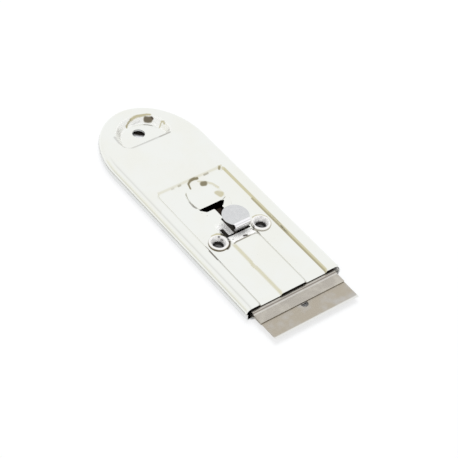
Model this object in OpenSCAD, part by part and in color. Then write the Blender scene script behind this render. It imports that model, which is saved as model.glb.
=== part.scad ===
// Pocket scraper with a single-edge blade that slides back between two stamped sheet covers.
// Z is up and Y runs from the blade to the hang hole. The origin is the middle of the underside
// of the covers. Places along the tool are named as distances back from the covers' front edge.

/* [Blade] */
// Width of the blade along its cutting edge
blade_w = 38.1; // [30:0.1:50]
// Depth of the blade from cutting edge to back
blade_d = 19.05; // [17:0.05:22]
// Thickness of the blade
blade_t = 0.25; // [0.2:0.01:0.35]
// Length of the ground edge
bevel_l = 0.9; // [0.4:0.1:1.5]
// Width of the notch in the middle of the blade
notch_w = 3.1; // [2:0.1:6]
// Distance from the cutting edge to the notch
notch_edge = 6.2; // [4:0.1:7]
// Thickness of the folded strip along the blade's back
spine_t = 1.05; // [0.8:0.05:1.3]
// Depth of the folded strip
spine_d = 5.5; // [4.5:0.1:6]
// How far the blade stands out in front of the covers
blade_reach = 13.5; // [11.5:0.1:14]

/* [Covers] */
// Length of the covers
cover_l = 111.5; // [108:0.5:130]
// Length of the rounded rear end
end_l = 27.8; // [24:0.1:31]
// Thickness of the covers' sheet
sheet_t = 0.6; // [0.4:0.05:0.7]
// Radius of the bend along the top cover's edge
edge_r = 3; // [2.2:0.1:3.2]
// Radius of the bend along the bottom cover's edge
base_r = 0.9; // [0.7:0.1:1.3]
// Height of the bottom cover's wall
wall_h = 2.55; // [2.2:0.05:2.7]
// Open seam between the covers' edges
seam_gap = 0.3; // [0.2:0.05:0.4]
// Play between the top cover's skirt and the bottom cover's wall
skirt_fit = 0.05; // [0.03:0.01:0.1]
// How far the top cover's front edge stands back from the bottom cover's
front_step = 0.6; // [0.3:0.1:1]

/* [Panel] */
// Depth of the sunken panel below the rim
panel_depth = 1.2; // [0.8:0.1:1.5]
// Width of the panel's floor
panel_w = 29.6; // [28.8:0.1:31]
// Length of the panel's floor
panel_l = 64.4; // [61:0.1:68]
// Run of the panel's side walls
panel_side_run = 0.7; // [0.3:0.1:1.5]
// Run of the panel's rear wall
panel_rear_run = 0.5; // [0.4:0.1:2.5]
// Width of the rib's foot
rib_w = 12.4; // [11.5:0.1:13.5]
// Run of the rib's side walls
rib_run = 1.05; // [0.5:0.05:1.5]
// Length of the rib's flat top
rib_l = 29.4; // [26:0.1:30]
// Run of the ramp at the rib's rear end
ramp_run = 3.5; // [2:0.1:3.6]
// Distance from the round dimple's middle to the panel's rear end
dimple_back = 8.2; // [7.5:0.1:9]
// Radius of the round dimple's rim
dimple_r = 7.5; // [6.5:0.1:8.5]
// Run of the round dimple's wall
dimple_run = 1.3; // [0.8:0.1:2]
// Depth of the round dimple below the panel
dimple_depth = 1.2; // [0.5:0.1:1.3]

/* [Slot] */
// How far the carrier slides back
travel = 15.2; // [14.6:0.1:16]
// Distance from the front edge to the lever's waist
lock_y = 34.4; // [34:0.1:35.5]
// Width of the front cross slot
front_slot_w = 11.2; // [10.8:0.1:11.6]
// Room in front of the waist in the front cross slot
front_slot_ahead = 1.1; // [0.9:0.1:1.3]
// Room behind the waist in the front cross slot
front_slot_behind = 0.5; // [0.4:0.1:0.8]
// Width of the narrow slot
slot_w = 3.7; // [3.5:0.1:4.5]
// Distance of the narrow slot from the middle line
slot_x = 1.4; // [0.5:0.1:1.6]
// Extra width of the narrow slot's front part, on its left side
relief_w = 1.25; // [0.5:0.05:1.4]
// Length of the widened front part
relief_l = 9; // [5:0.1:11]
// Width of the tongue beside the slot
tongue_w = 2; // [1.2:0.1:2]
// Length of the tongue
tongue_l = 3.4; // [2:0.1:4]
// Width of the rear cross slot
rear_slot_w = 11.4; // [10.8:0.1:12]
// Room in front of the waist in the rear cross slot
rear_slot_ahead = 1.6; // [1:0.1:2]
// Room behind the waist in the rear cross slot
rear_slot_behind = 2; // [1.6:0.1:2.6]
// Cut-off corners of the rear cross slot
rear_slot_corner = 1.9; // [1:0.1:2.5]

/* [Hang hole] */
// Radius of the hang hole
hang_r = 2.6; // [2:0.1:3.5]
// Distance from the front edge to the hang hole
hang_y = 98.2; // [95:0.1:99]
// Width of the hang dimple's rim
hang_dimple_w = 22.6; // [18:0.1:24]
// Distance from the front edge to the hang dimple
hang_dimple_y = 90.5; // [88:0.1:92]
// Length of the hang dimple
hang_dimple_l = 14.7; // [13:0.1:16]
// Corner radius of the hang dimple
hang_corner_r = 3; // [2.5:0.1:4]
// Run of the hang dimple's wall
hang_run = 1.3; // [0.8:0.1:1.8]
// Depth of the hang dimple below the rim
hang_depth = 2.8; // [1.5:0.1:3]
// Radius of the bottom cover's boss under the hang hole, at its foot
boss_r = 6.4; // [5.5:0.1:7]
// Run of the boss's wall
boss_run = 1; // [0.6:0.1:1.2]

/* [Eyelets] */
// Distance of each eyelet from the middle line
eyelet_x = 9.85; // [9.7:0.05:10.3]
// Distance from the front edge to the eyelets
eyelet_y = 32.8; // [31:0.1:34]
// Radius of an eyelet's bore
eyelet_bore_r = 2; // [1.5:0.1:2.1]
// Wall of an eyelet's barrel
eyelet_wall = 0.5; // [0.4:0.05:0.55]
// Radius of the rolled crest
crest_r = 4.05; // [3.6:0.05:4.1]
// Height of the rolled crest above the panel
crest_h = 1.15; // [0.8:0.05:1.3]
// Radius of the flange under the bottom cover
flange_r = 3.5; // [3.2:0.1:3.6]
// Play round an eyelet's barrel in the covers' holes
eyelet_fit = 0.05; // [0.03:0.01:0.1]

/* [Carrier] */
// Thickness of the carrier's sheet
carrier_t = 0.5; // [0.4:0.05:0.6]
// Running gap under the carrier
slide_gap = 0.25; // [0.2:0.05:0.35]
// Running gap above the carrier's jaw
head_gap = 0.4; // [0.3:0.05:0.6]
// Running gap beside the carrier's jaw
side_gap = 1.1; // [0.5:0.1:1.2]
// How far the jaw is wider than the blade, each side
jaw_over = 0.1; // [0.1:0.1:0.6]
// How far the jaw stands out in front of the covers
jaw_reach = 5.1; // [4:0.1:5.2]
// Play of the blade and its strip in the jaw
jaw_fit = 0.1; // [0.05:0.01:0.15]
// Run of the jaw's step down to the blade
jaw_step_run = 1; // [0.5:0.1:1.5]
// Width of the carrier's tail
tail_w = 10.4; // [9.6:0.1:10.6]
// Length of the tail behind the lever's waist
tail_l = 10; // [5:0.1:12]
// Distance of each lever rivet from the middle line
rivet_x = 2.4; // [2.1:0.1:2.5]
// Distance from the jaw's rear wall to the rivets
rivet_back = 6; // [4.5:0.1:8]
// Radius of a rivet's shank
rivet_r = 1; // [0.8:0.1:1.1]
// Radius of a rivet's head
rivet_head_r = 1.7; // [1.5:0.1:1.9]
// Height of a rivet's head
rivet_head_h = 0.6; // [0.4:0.1:0.8]

/* [Lever] */
// Thickness of the lever's strip
lever_t = 0.5; // [0.4:0.05:0.6]
// Play above and below the lever's foot
foot_fit = 0.15; // [0.12:0.01:0.2]
// Play round a rivet in the lever's foot
rivet_fit = 0.15; // [0.1:0.01:0.2]
// Length of the flat foot on each side of the rivets
foot_l = 2.2; // [2:0.1:2.4]
// Width of the leaf
leaf_w = 8.4; // [8.2:0.1:9]
// Width of the shoulders under the front cross slot
shoulder_w = 10.4; // [9.6:0.1:10.6]
// Depth of the shoulders along the tool
shoulder_d = 1.2; // [0.9:0.1:1.2]
// Gap between the shoulders and the panel above them
shoulder_gap = 0.2; // [0.15:0.01:0.3]
// Width of the waist that runs in the narrow slot
waist_w = 3; // [2.6:0.1:3.1]
// Height above the panel at which the neck starts to widen
waist_h = 1.3; // [1.3:0.1:2]
// Height over which the neck widens
flare_h = 0.5; // [0.5:0.1:1]
// Width of the neck
neck_w = 7.1; // [6:0.1:8]
// How far the neck leans forward
neck_lean = 1.2; // [0.5:0.1:1.8]
// Radius on the inside of the bend under the disc
bend_r = 0.8; // [0.5:0.1:1.2]
// Radius of the thumb disc
disc_r = 5.2; // [4.8:0.1:5.5]
// How far the bend cuts into the disc's circle
disc_cut = 1.4; // [0.5:0.1:2]
// Height of the disc's top above the panel
disc_h = 4.6; // [4.4:0.1:7]

/* [Hidden] */
over = 0.5;
layer_t = 0.01;
arch_steps = 40;
$fn = 64;

front_y = -cover_l / 2;
jaw_w = blade_w + 2 * jaw_over;
skirt_inset = sheet_t + skirt_fit;
cover_w = jaw_w + 2 * (side_gap + sheet_t + skirt_inset);
arch_y = front_y + cover_l - end_l;
dimple_y = panel_l - dimple_back;
seam_z = wall_h + seam_gap;
skirt_z = sheet_t + skirt_fit;

carrier_z = sheet_t + slide_gap;
tail_z = carrier_z + carrier_t;
spine_z = tail_z + jaw_fit;
blade_z = spine_z + (spine_t - blade_t) / 2;
jaw_z = spine_z + spine_t + jaw_fit;
panel_z = jaw_z + carrier_t + head_gap + sheet_t;
cover_h = panel_z + panel_depth;
hang_z = cover_h - hang_depth;

edge_y = front_y - blade_reach;
back_y = edge_y + blade_d;
jaw_rear_y = back_y + 2 * jaw_fit + carrier_t;
waist_y = front_y + lock_y;
rivet_y = jaw_rear_y + rivet_back;
foot_z = tail_z + foot_fit;
shoulder_z = panel_z - sheet_t - shoulder_gap - lever_t;
disc_z = panel_z + disc_h - lever_t;

// Plan outline of the covers, drawn in from the sides and the rear end
module cover_outline(inset, start_y) {
    half_w = cover_w / 2 - inset;
    polygon(concat([[-half_w, start_y], [half_w, start_y]],
        [for (i = [0:arch_steps]) let (a = 180 * i / arch_steps)
            [half_w * cos(a), arch_y + (end_l - inset) * sin(a)]]));
}

// Solid under the top cover's sheet, with the bend along its edge
module cover_form(inset, start_y) {
    r = edge_r - inset;
    hull() for (a = [0:15:90])
        translate([0, 0, cover_h - edge_r + r * sin(a) - layer_t])
            linear_extrude(layer_t) cover_outline(inset + r * (1 - cos(a)), start_y);
}

// Ring of sheet between two insets of the outline, open at the front
module cover_ring(z0, z1, inset, wall, start_y) {
    translate([0, 0, z0]) linear_extrude(z1 - z0) difference() {
        cover_outline(inset, start_y);
        cover_outline(inset + wall, start_y - over);
    }
}

// Long shape with the given section across the tool
module along(y0, y1, points) {
    translate([0, y1, 0]) rotate([90, 0, 0]) linear_extrude(y1 - y0) polygon(points);
}

// Wide shape with the given side view
module across(w, points) {
    rotate([90, 0, 90]) translate([0, 0, -w / 2]) linear_extrude(w) polygon(points);
}

// Sunken panel's space, or its sheet's outside when grown
module panel_space(grow, top_z) {
    foot = panel_w / 2 + grow;
    rear = front_y + panel_l + grow;
    z0 = panel_z - grow;
    intersection() {
        along(front_y - over, rear + panel_rear_run + over,
            [[-foot, z0], [foot, z0], [foot + panel_side_run, cover_h], [foot + panel_side_run, top_z],
             [-foot - panel_side_run, top_z], [-foot - panel_side_run, cover_h]]);
        across(cover_w,
            [[front_y + (grow > 0 ? front_step : -over), z0], [rear, z0],
             [rear + panel_rear_run, cover_h], [rear + panel_rear_run, top_z],
             [front_y + (grow > 0 ? front_step : -over), top_z]]);
    }
}

// Raised rib, or the space under its sheet when grown inwards
module rib_form(shrink, z0, start_y) {
    foot = rib_w / 2 - shrink;
    z1 = cover_h - shrink;
    slope_z = panel_z - shrink;
    intersection() {
        along(front_y - over, front_y + lock_y,
            [[-foot, z0], [foot, z0], [foot, slope_z], [foot - rib_run, z1],
             [-foot + rib_run, z1], [-foot, slope_z]]);
        across(cover_w,
            [[start_y, z0], [front_y + rib_l + ramp_run - shrink, z0],
             [front_y + rib_l + ramp_run - shrink, slope_z], [front_y + rib_l - shrink / 2, z1],
             [start_y, z1]]);
    }
}

// D-shaped plan of the hang dimple
module hang_plan(inset) {
    half_w = hang_dimple_w / 2 - inset;
    r = hang_corner_r - inset;
    y0 = front_y + hang_dimple_y + inset;
    y1 = front_y + hang_dimple_y + hang_dimple_l - inset;
    mid_y = y0 + r + hang_corner_r / 2;
    polygon(concat(
        [for (i = [0:6]) let (a = 180 + 90 * i / 6) [-half_w + r + r * cos(a), y0 + r + r * sin(a)]],
        [for (i = [0:6]) let (a = 270 + 90 * i / 6) [half_w - r + r * cos(a), y0 + r + r * sin(a)]],
        [for (i = [0:24]) let (a = 180 * i / 24) [half_w * cos(a), mid_y + (y1 - mid_y) * sin(a)]]));
}

// Hang dimple's space, or its sheet's outside when grown
module hang_space(grow, top_z) {
    hull() {
        translate([0, 0, hang_z - grow]) linear_extrude(layer_t) hang_plan(hang_run - grow);
        translate([0, 0, cover_h - grow]) linear_extrude(top_z - cover_h + grow) hang_plan(-grow);
    }
}

// Round dimple's space, or its sheet's outside when grown
module round_dimple(grow, top_z) {
    z0 = panel_z - dimple_depth - grow;
    translate([0, front_y + dimple_y, 0]) {
        translate([0, 0, z0])
            cylinder(r1 = dimple_r - dimple_run + grow, r2 = dimple_r + grow, h = panel_z - grow - z0);
        translate([0, 0, panel_z - grow - layer_t])
            cylinder(r = dimple_r + grow, h = top_z - panel_z + grow + layer_t);
    }
}

// Opening in the panel: two cross slots and the narrow slot between them
module slot_plan() {
    y0 = waist_y - front_slot_ahead;
    y1 = waist_y + front_slot_behind;
    y2 = waist_y + travel - rear_slot_ahead;
    y3 = waist_y + travel + rear_slot_behind;
    left = slot_x - slot_w / 2 - relief_w;
    half_rear = rear_slot_w / 2;
    translate([-front_slot_w / 2, y0]) square([front_slot_w, y1 - y0]);
    translate([-front_slot_w / 2, y0])
        square([front_slot_w / 2 + left - tongue_w, y1 - y0 + tongue_l]);
    translate([left, y0]) square([slot_w + relief_w, y1 - y0 + relief_l]);
    translate([slot_x - slot_w / 2, y0]) square([slot_w, y3 - y0]);
    polygon([[-half_rear + rear_slot_corner, y2], [half_rear - rear_slot_corner, y2],
        [half_rear, y2 + rear_slot_corner], [half_rear, y3], [-half_rear, y3],
        [-half_rear, y2 + rear_slot_corner]]);
}

module top_cover() {
    start_y = front_y + front_step;
    color("gainsboro") difference() {
        union() {
            difference() {
                union() {
                    difference() {
                        cover_form(0, start_y);
                        cover_form(sheet_t, start_y - over);
                        translate([-cover_w, -cover_l, -over])
                            cube([2 * cover_w, 2 * cover_l, seam_z + over]);
                    }
                    cover_ring(seam_z, seam_z + sheet_t, sheet_t / 2, skirt_inset + sheet_t / 2, start_y);
                    cover_ring(skirt_z, seam_z + sheet_t / 2, skirt_inset, sheet_t, start_y);
                    panel_space(sheet_t, cover_h - sheet_t / 2);
                    hang_space(sheet_t, cover_h - sheet_t / 2);
                    round_dimple(sheet_t, cover_h - sheet_t / 2);
                }
                panel_space(0, cover_h + over);
                hang_space(0, cover_h + over);
            }
            rib_form(0, panel_z - sheet_t, start_y);
        }
        rib_form(sheet_t, panel_z - sheet_t - over, start_y - over);
        round_dimple(0, cover_h + over);
        linear_extrude(cover_h) slot_plan();
        translate([0, front_y + hang_y, 0]) cylinder(r = hang_r, h = cover_h);
        for (side = [-1, 1]) translate([side * eyelet_x, front_y + eyelet_y, 0])
            cylinder(r = eyelet_bore_r + eyelet_wall + eyelet_fit, h = cover_h);
    }
}

module bottom_cover() {
    pad_r = flange_r + sheet_t + 2 * eyelet_fit;
    boss_z = hang_z - sheet_t;
    color("silver") difference() {
        union() {
            difference() {
                hull() {
                    for (a = [0:30:90]) translate([0, 0, base_r * (1 - cos(a))])
                        linear_extrude(layer_t) cover_outline(base_r * (1 - sin(a)), front_y);
                    translate([0, 0, wall_h - layer_t]) linear_extrude(layer_t) cover_outline(0, front_y);
                }
                translate([0, 0, sheet_t]) linear_extrude(cover_h) cover_outline(sheet_t, front_y - over);
            }
            for (side = [-1, 1]) translate([side * eyelet_x, front_y + eyelet_y, sheet_t / 2])
                cylinder(r = pad_r, h = sheet_t * 3 / 2);
            translate([0, front_y + hang_y, 0]) cylinder(r1 = boss_r, r2 = boss_r - boss_run, h = boss_z);
        }
        for (side = [-1, 1]) translate([side * eyelet_x, front_y + eyelet_y, -over]) {
            cylinder(r = flange_r + eyelet_fit, h = sheet_t + over);
            cylinder(r = eyelet_bore_r + eyelet_wall + eyelet_fit, h = cover_h);
        }
        translate([0, front_y + hang_y, -sheet_t])
            cylinder(r1 = boss_r - sheet_t, r2 = boss_r - boss_run - sheet_t, h = boss_z);
        translate([0, front_y + hang_y, -over]) cylinder(r = hang_r, h = cover_h);
    }
}

module eyelet(side) {
    roll_r = (crest_r - eyelet_bore_r) / 2;
    color("whitesmoke") translate([side * eyelet_x, front_y + eyelet_y, 0]) {
        difference() {
            union() {
                rotate_extrude() intersection() {
                    translate([eyelet_bore_r + roll_r, panel_z + crest_h - roll_r]) circle(roll_r);
                    translate([0, panel_z]) square([crest_r, crest_h]);
                }
                translate([0, 0, eyelet_fit])
                    cylinder(r = eyelet_bore_r + eyelet_wall, h = panel_z + crest_h / 2 - eyelet_fit);
                translate([0, 0, eyelet_fit]) cylinder(r = flange_r, h = sheet_t - eyelet_fit);
            }
            translate([0, 0, -over]) cylinder(r = eyelet_bore_r, h = cover_h + 2 * over);
        }
    }
}

module blade_carrier() {
    jaw_front = front_y - jaw_reach;
    step_y = back_y - spine_d - jaw_fit;
    low_y = step_y - jaw_step_run;
    blade_gap = jaw_fit / 2;
    rest_z = blade_z - blade_gap;
    flap_z = blade_z + blade_t + blade_gap;
    inner_rear = back_y + 2 * jaw_fit;
    color("rosybrown") difference() {
        union() {
            across(jaw_w, [[jaw_front, rest_z - carrier_t], [low_y, rest_z - carrier_t],
                [step_y, carrier_z], [jaw_rear_y, carrier_z],
                [jaw_rear_y, jaw_z + carrier_t], [step_y, jaw_z + carrier_t],
                [low_y, flap_z + carrier_t], [jaw_front, flap_z + carrier_t], [jaw_front, flap_z],
                [low_y, flap_z], [step_y, jaw_z], [inner_rear, jaw_z], [inner_rear, tail_z],
                [step_y, tail_z], [low_y, rest_z], [jaw_front, rest_z]]);
            translate([-tail_w / 2, jaw_rear_y - carrier_t / 2, carrier_z])
                cube([tail_w, waist_y + tail_l - jaw_rear_y + carrier_t / 2, carrier_t]);
        }
        for (side = [-1, 1]) translate([side * rivet_x, rivet_y, carrier_z - over])
            cylinder(r = rivet_r, h = carrier_t + 2 * over);
    }
}

module blade() {
    mid_z = blade_z + blade_t / 2;
    notch_y = edge_y + notch_edge;
    color("dimgray") difference() {
        across(blade_w, [[edge_y, mid_z], [edge_y + bevel_l, blade_z], [back_y, blade_z],
            [back_y, blade_z + blade_t], [edge_y + bevel_l, blade_z + blade_t]]);
        translate([-notch_w / 2, notch_y, blade_z - over])
            cube([notch_w, back_y - spine_d / 2 - notch_y, blade_t + 2 * over]);
    }
}

module blade_spine() {
    slot_h = blade_t + jaw_fit / 2;
    slot_z = blade_z - jaw_fit / 4;
    wall = (spine_t - slot_h) / 2;
    front = back_y - spine_d;
    color("darkgray") across(blade_w, [[front, spine_z], [back_y + jaw_fit, spine_z],
        [back_y + jaw_fit, spine_z + spine_t], [front, spine_z + spine_t], [front, slot_z + slot_h],
        [back_y, slot_z + slot_h], [back_y, slot_z], [front, slot_z]]);
}

module lever_rivets() {
    head_z = foot_z + lever_t + foot_fit;
    color("lightgray") for (side = [-1, 1]) translate([side * rivet_x, rivet_y, 0]) {
        translate([0, 0, carrier_z]) cylinder(r = rivet_r, h = head_z - carrier_z + rivet_head_h / 2);
        translate([0, 0, head_z])
            cylinder(r1 = rivet_head_r, r2 = rivet_r, h = rivet_head_h);
    }
}

module thumb_lever() {
    waist_rear = waist_y + lever_t / 2;
    neck_z = panel_z + waist_h;
    neck_top_z = disc_z - bend_r;
    neck_front = waist_y - lever_t / 2;
    bend_y = neck_front - neck_lean + lever_t + bend_r;
    outer_r = bend_r + lever_t;
    color("lightsteelblue") {
        difference() {
            across(leaf_w, [[rivet_y - foot_l, foot_z], [rivet_y + foot_l, foot_z],
                [waist_rear - shoulder_d, shoulder_z], [waist_rear, shoulder_z],
                [waist_rear, shoulder_z + lever_t], [waist_rear - shoulder_d, shoulder_z + lever_t],
                [rivet_y + foot_l, foot_z + lever_t], [rivet_y - foot_l, foot_z + lever_t]]);
            for (side = [-1, 1]) translate([side * rivet_x, rivet_y, foot_z - over])
                cylinder(r = rivet_r + rivet_fit, h = lever_t + 2 * over);
        }
        translate([-shoulder_w / 2, waist_rear - shoulder_d, shoulder_z])
            cube([shoulder_w, shoulder_d, lever_t]);
        translate([slot_x - waist_w / 2, neck_front, shoulder_z])
            cube([waist_w, lever_t, neck_z - shoulder_z]);
        translate([slot_x, waist_rear, 0]) rotate([90, 0, 0]) linear_extrude(lever_t)
            polygon([[-waist_w / 2, neck_z - lever_t], [waist_w / 2, neck_z - lever_t],
                [neck_w / 2, neck_z + flare_h], [-neck_w / 2, neck_z + flare_h]]);
        translate([slot_x, 0, 0]) across(neck_w, concat(
            [[neck_front + lever_t, neck_z + flare_h - lever_t], [neck_front, neck_z + flare_h - lever_t]],
            [for (i = [0:6]) let (a = 180 - 90 * i / 6)
                [bend_y + outer_r * cos(a), neck_top_z + outer_r * sin(a)]],
            [[bend_y + lever_t, disc_z + lever_t], [bend_y + lever_t, disc_z]],
            [for (i = [0:6]) let (a = 90 + 90 * i / 6)
                [bend_y + bend_r * cos(a), neck_top_z + bend_r * sin(a)]]));
        intersection() {
            translate([slot_x, bend_y + disc_r - disc_cut, disc_z]) cylinder(r = disc_r, h = lever_t);
            translate([-cover_w / 2, bend_y, 0]) cube([cover_w, cover_l, disc_z + lever_t + over]);
        }
    }
}

top_cover();
bottom_cover();
eyelet(-1);  // eyelet_left
eyelet(1);  // eyelet_right
blade_carrier();
blade();
blade_spine();
lever_rivets();
thumb_lever();
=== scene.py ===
"""Dresses the razor blade scraper: camera, studio, detailed pieces and metal finishes."""
import logging
import math
from dataclasses import dataclass, field, replace
from enum import Enum
from typing import Any, Callable, Optional, Sequence, Union

import bpy
import numpy as np
from mathutils import Matrix, Vector
from mathutils.geometry import delaunay_2d_cdt


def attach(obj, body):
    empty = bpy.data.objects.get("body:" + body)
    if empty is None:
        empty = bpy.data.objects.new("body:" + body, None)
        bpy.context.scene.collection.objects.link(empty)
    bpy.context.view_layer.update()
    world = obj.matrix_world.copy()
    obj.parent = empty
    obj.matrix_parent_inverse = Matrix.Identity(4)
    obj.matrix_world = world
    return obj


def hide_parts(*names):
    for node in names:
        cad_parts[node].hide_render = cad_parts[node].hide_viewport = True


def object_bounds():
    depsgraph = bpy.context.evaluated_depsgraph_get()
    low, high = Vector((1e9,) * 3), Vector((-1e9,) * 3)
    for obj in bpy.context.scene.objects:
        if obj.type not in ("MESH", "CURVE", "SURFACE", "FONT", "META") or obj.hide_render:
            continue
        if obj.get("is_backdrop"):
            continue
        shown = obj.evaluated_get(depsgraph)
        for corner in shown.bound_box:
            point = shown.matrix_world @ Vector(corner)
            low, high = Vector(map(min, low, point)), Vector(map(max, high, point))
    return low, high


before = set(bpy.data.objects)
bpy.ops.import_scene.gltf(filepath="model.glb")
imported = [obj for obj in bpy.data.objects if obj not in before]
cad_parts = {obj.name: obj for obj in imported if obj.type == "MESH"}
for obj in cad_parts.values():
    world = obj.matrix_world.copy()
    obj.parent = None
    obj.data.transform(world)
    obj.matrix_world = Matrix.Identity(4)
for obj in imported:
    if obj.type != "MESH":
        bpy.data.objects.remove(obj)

Array = np.ndarray
Colour = tuple[float, float, float]
Value = Union["Sock", float]
Faces = list[tuple[int, ...]]
Triple = tuple[float, float, float]
Guide = tuple[Array, Array, Array]
Marks = dict[str, Array]
PlanValue = Callable[[Array, Array], Array]

log = logging.getLogger("scraper")

MM = 0.001
TINY = 1e-9
FAR = 1e9
LEAST_CUT = 1e-4
LEAST_BEND = 2e-4
# Marks that the meshes carry: a painted reflection and shade tint, the blade's bevel or a painted
# highlight, painted shade, and matte patches painted pale.
MARKS = ("fold", "ground", "inner", "matte")


class Body(Enum):
    """The bodies that the pieces ride on."""

    COVER = "cover"
    CARRIER = "carrier"
    LEVER = "lever"


class Grain(Enum):
    """Direction of the fine lines that rolling or grinding leaves in a metal."""

    ALONG = (1.0, 0.06, 1.0)
    ACROSS = (0.06, 1.0, 1.0)
    NONE = (1.0, 1.0, 1.0)


class Sock:
    """A shader value that takes part in plain sums."""

    def __init__(self, maker: "NodeMaker", socket: bpy.types.NodeSocket) -> None:
        """Keeps the socket and the maker of its tree."""
        self.maker = maker
        self.socket = socket

    def __add__(self, other: Value) -> "Sock":
        """Adds another value."""
        return self.maker.sum("ADD", self, other)

    __radd__ = __add__

    def __mul__(self, other: Value) -> "Sock":
        """Multiplies by another value."""
        return self.maker.sum("MULTIPLY", self, other)

    __rmul__ = __mul__

    def __sub__(self, other: Value) -> "Sock":
        """Takes another value away."""
        return self.maker.sum("SUBTRACT", self, other)

    def __rsub__(self, other: Value) -> "Sock":
        """Is taken away from another value."""
        return self.maker.sum("SUBTRACT", other, self)

    def clamp(self) -> "Sock":
        """Keeps the value between 0 and 1."""
        return self.maker.sum("ADD", self, 0.0, True)


class NodeMaker:
    """Adds nodes to one tree."""

    def __init__(self, tree: bpy.types.NodeTree) -> None:
        """Keeps the tree and empties it."""
        self.tree = tree
        tree.nodes.clear()

    def feed(self, target: bpy.types.NodeSocket, value: Any) -> None:
        """Links a socket to an input, or sets the input's own value.

        Args:
            target: The input.
            value: A socket, plain or wrapped, or a value.
        """
        source = value.socket if isinstance(value, Sock) else value
        if isinstance(source, bpy.types.NodeSocket):
            self.tree.links.new(source, target)
        else:
            target.default_value = source

    def add(self, kind: str, settings: Optional[dict[str, Any]] = None, **inputs: Any) -> bpy.types.Node:
        """Adds one node.

        Args:
            kind: The node's type name.
            settings: Properties that are set before the inputs.
            inputs: Values or sockets by name, where an underscore is a space, or by i and a number.

        Returns:
            The new node.
        """
        node = self.tree.nodes.new(kind)
        for key, value in (settings or {}).items():
            setattr(node, key, value)
        for key, value in inputs.items():
            numbered = key[0] == "i" and key[1:].isdigit()
            self.feed(node.inputs[int(key[1:]) if numbered else key.replace("_", " ")], value)
        return node

    def get(self, kind: str, pick: Union[int, str] = 0, **inputs: Any) -> Sock:
        """Adds one node without settings and returns the picked output."""
        return Sock(self, self.add(kind, **inputs).outputs[pick])

    def sum(self, kind: str, a: Value, b: Value, clamp: bool = False) -> Sock:
        """Adds a math node of the given kind for two values."""
        node = self.add("ShaderNodeMath", {"operation": kind, "use_clamp": clamp}, i0=a, i1=b)
        return Sock(self, node.outputs[0])

    def mix(self, share: Value, a: Any, b: Any) -> Sock:
        """Mixes two colours.

        Args:
            share: The second colour's share, from 0 to 1.
            a: The first colour, plain or a socket.
            b: The second colour.

        Returns:
            The mixed colour.
        """
        node = self.add("ShaderNodeMix", {"data_type": "RGBA"}, i0=share)
        for index, value in ((6, a), (7, b)):
            self.feed(node.inputs[index], value if isinstance(value, Sock) else (*value, 1.0))
        return Sock(self, node.outputs[2])

    def span(self, value: Value, low: float, high: float) -> Sock:
        """Rises from 0 at the low value to 1 at the high one."""
        return self.get("ShaderNodeMapRange", Value=value, From_Min=low, From_Max=high)

    def mark(self, name: str) -> Sock:
        """Reads one of the marks that a mesh carries."""
        return Sock(self, self.add("ShaderNodeAttribute", {"attribute_name": name}).outputs["Fac"])

    def place(self) -> Sock:
        """Reads the place on the piece."""
        return self.get("ShaderNodeTexCoord", "Object")

    def seen(self) -> Sock:
        """Tells what is seen from what gives light.

        Returns:
            1 for the camera, in mirrors and through glass, and 0 for the light itself.
        """
        path = self.add("ShaderNodeLightPath").outputs
        camera, glossy, glass = (Sock(self, path[name]) for name in
                                 ("Is Camera Ray", "Is Glossy Ray", "Is Transmission Ray"))
        return (camera + glossy + glass).clamp()


def fresh_material(name: str) -> tuple[bpy.types.Material, NodeMaker]:
    """Makes a new material.

    Args:
        name: Its name.

    Returns:
        The material, and the maker of its empty tree.
    """
    material = bpy.data.materials.new(name)
    material.use_nodes = True
    return material, NodeMaker(material.node_tree)


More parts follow.
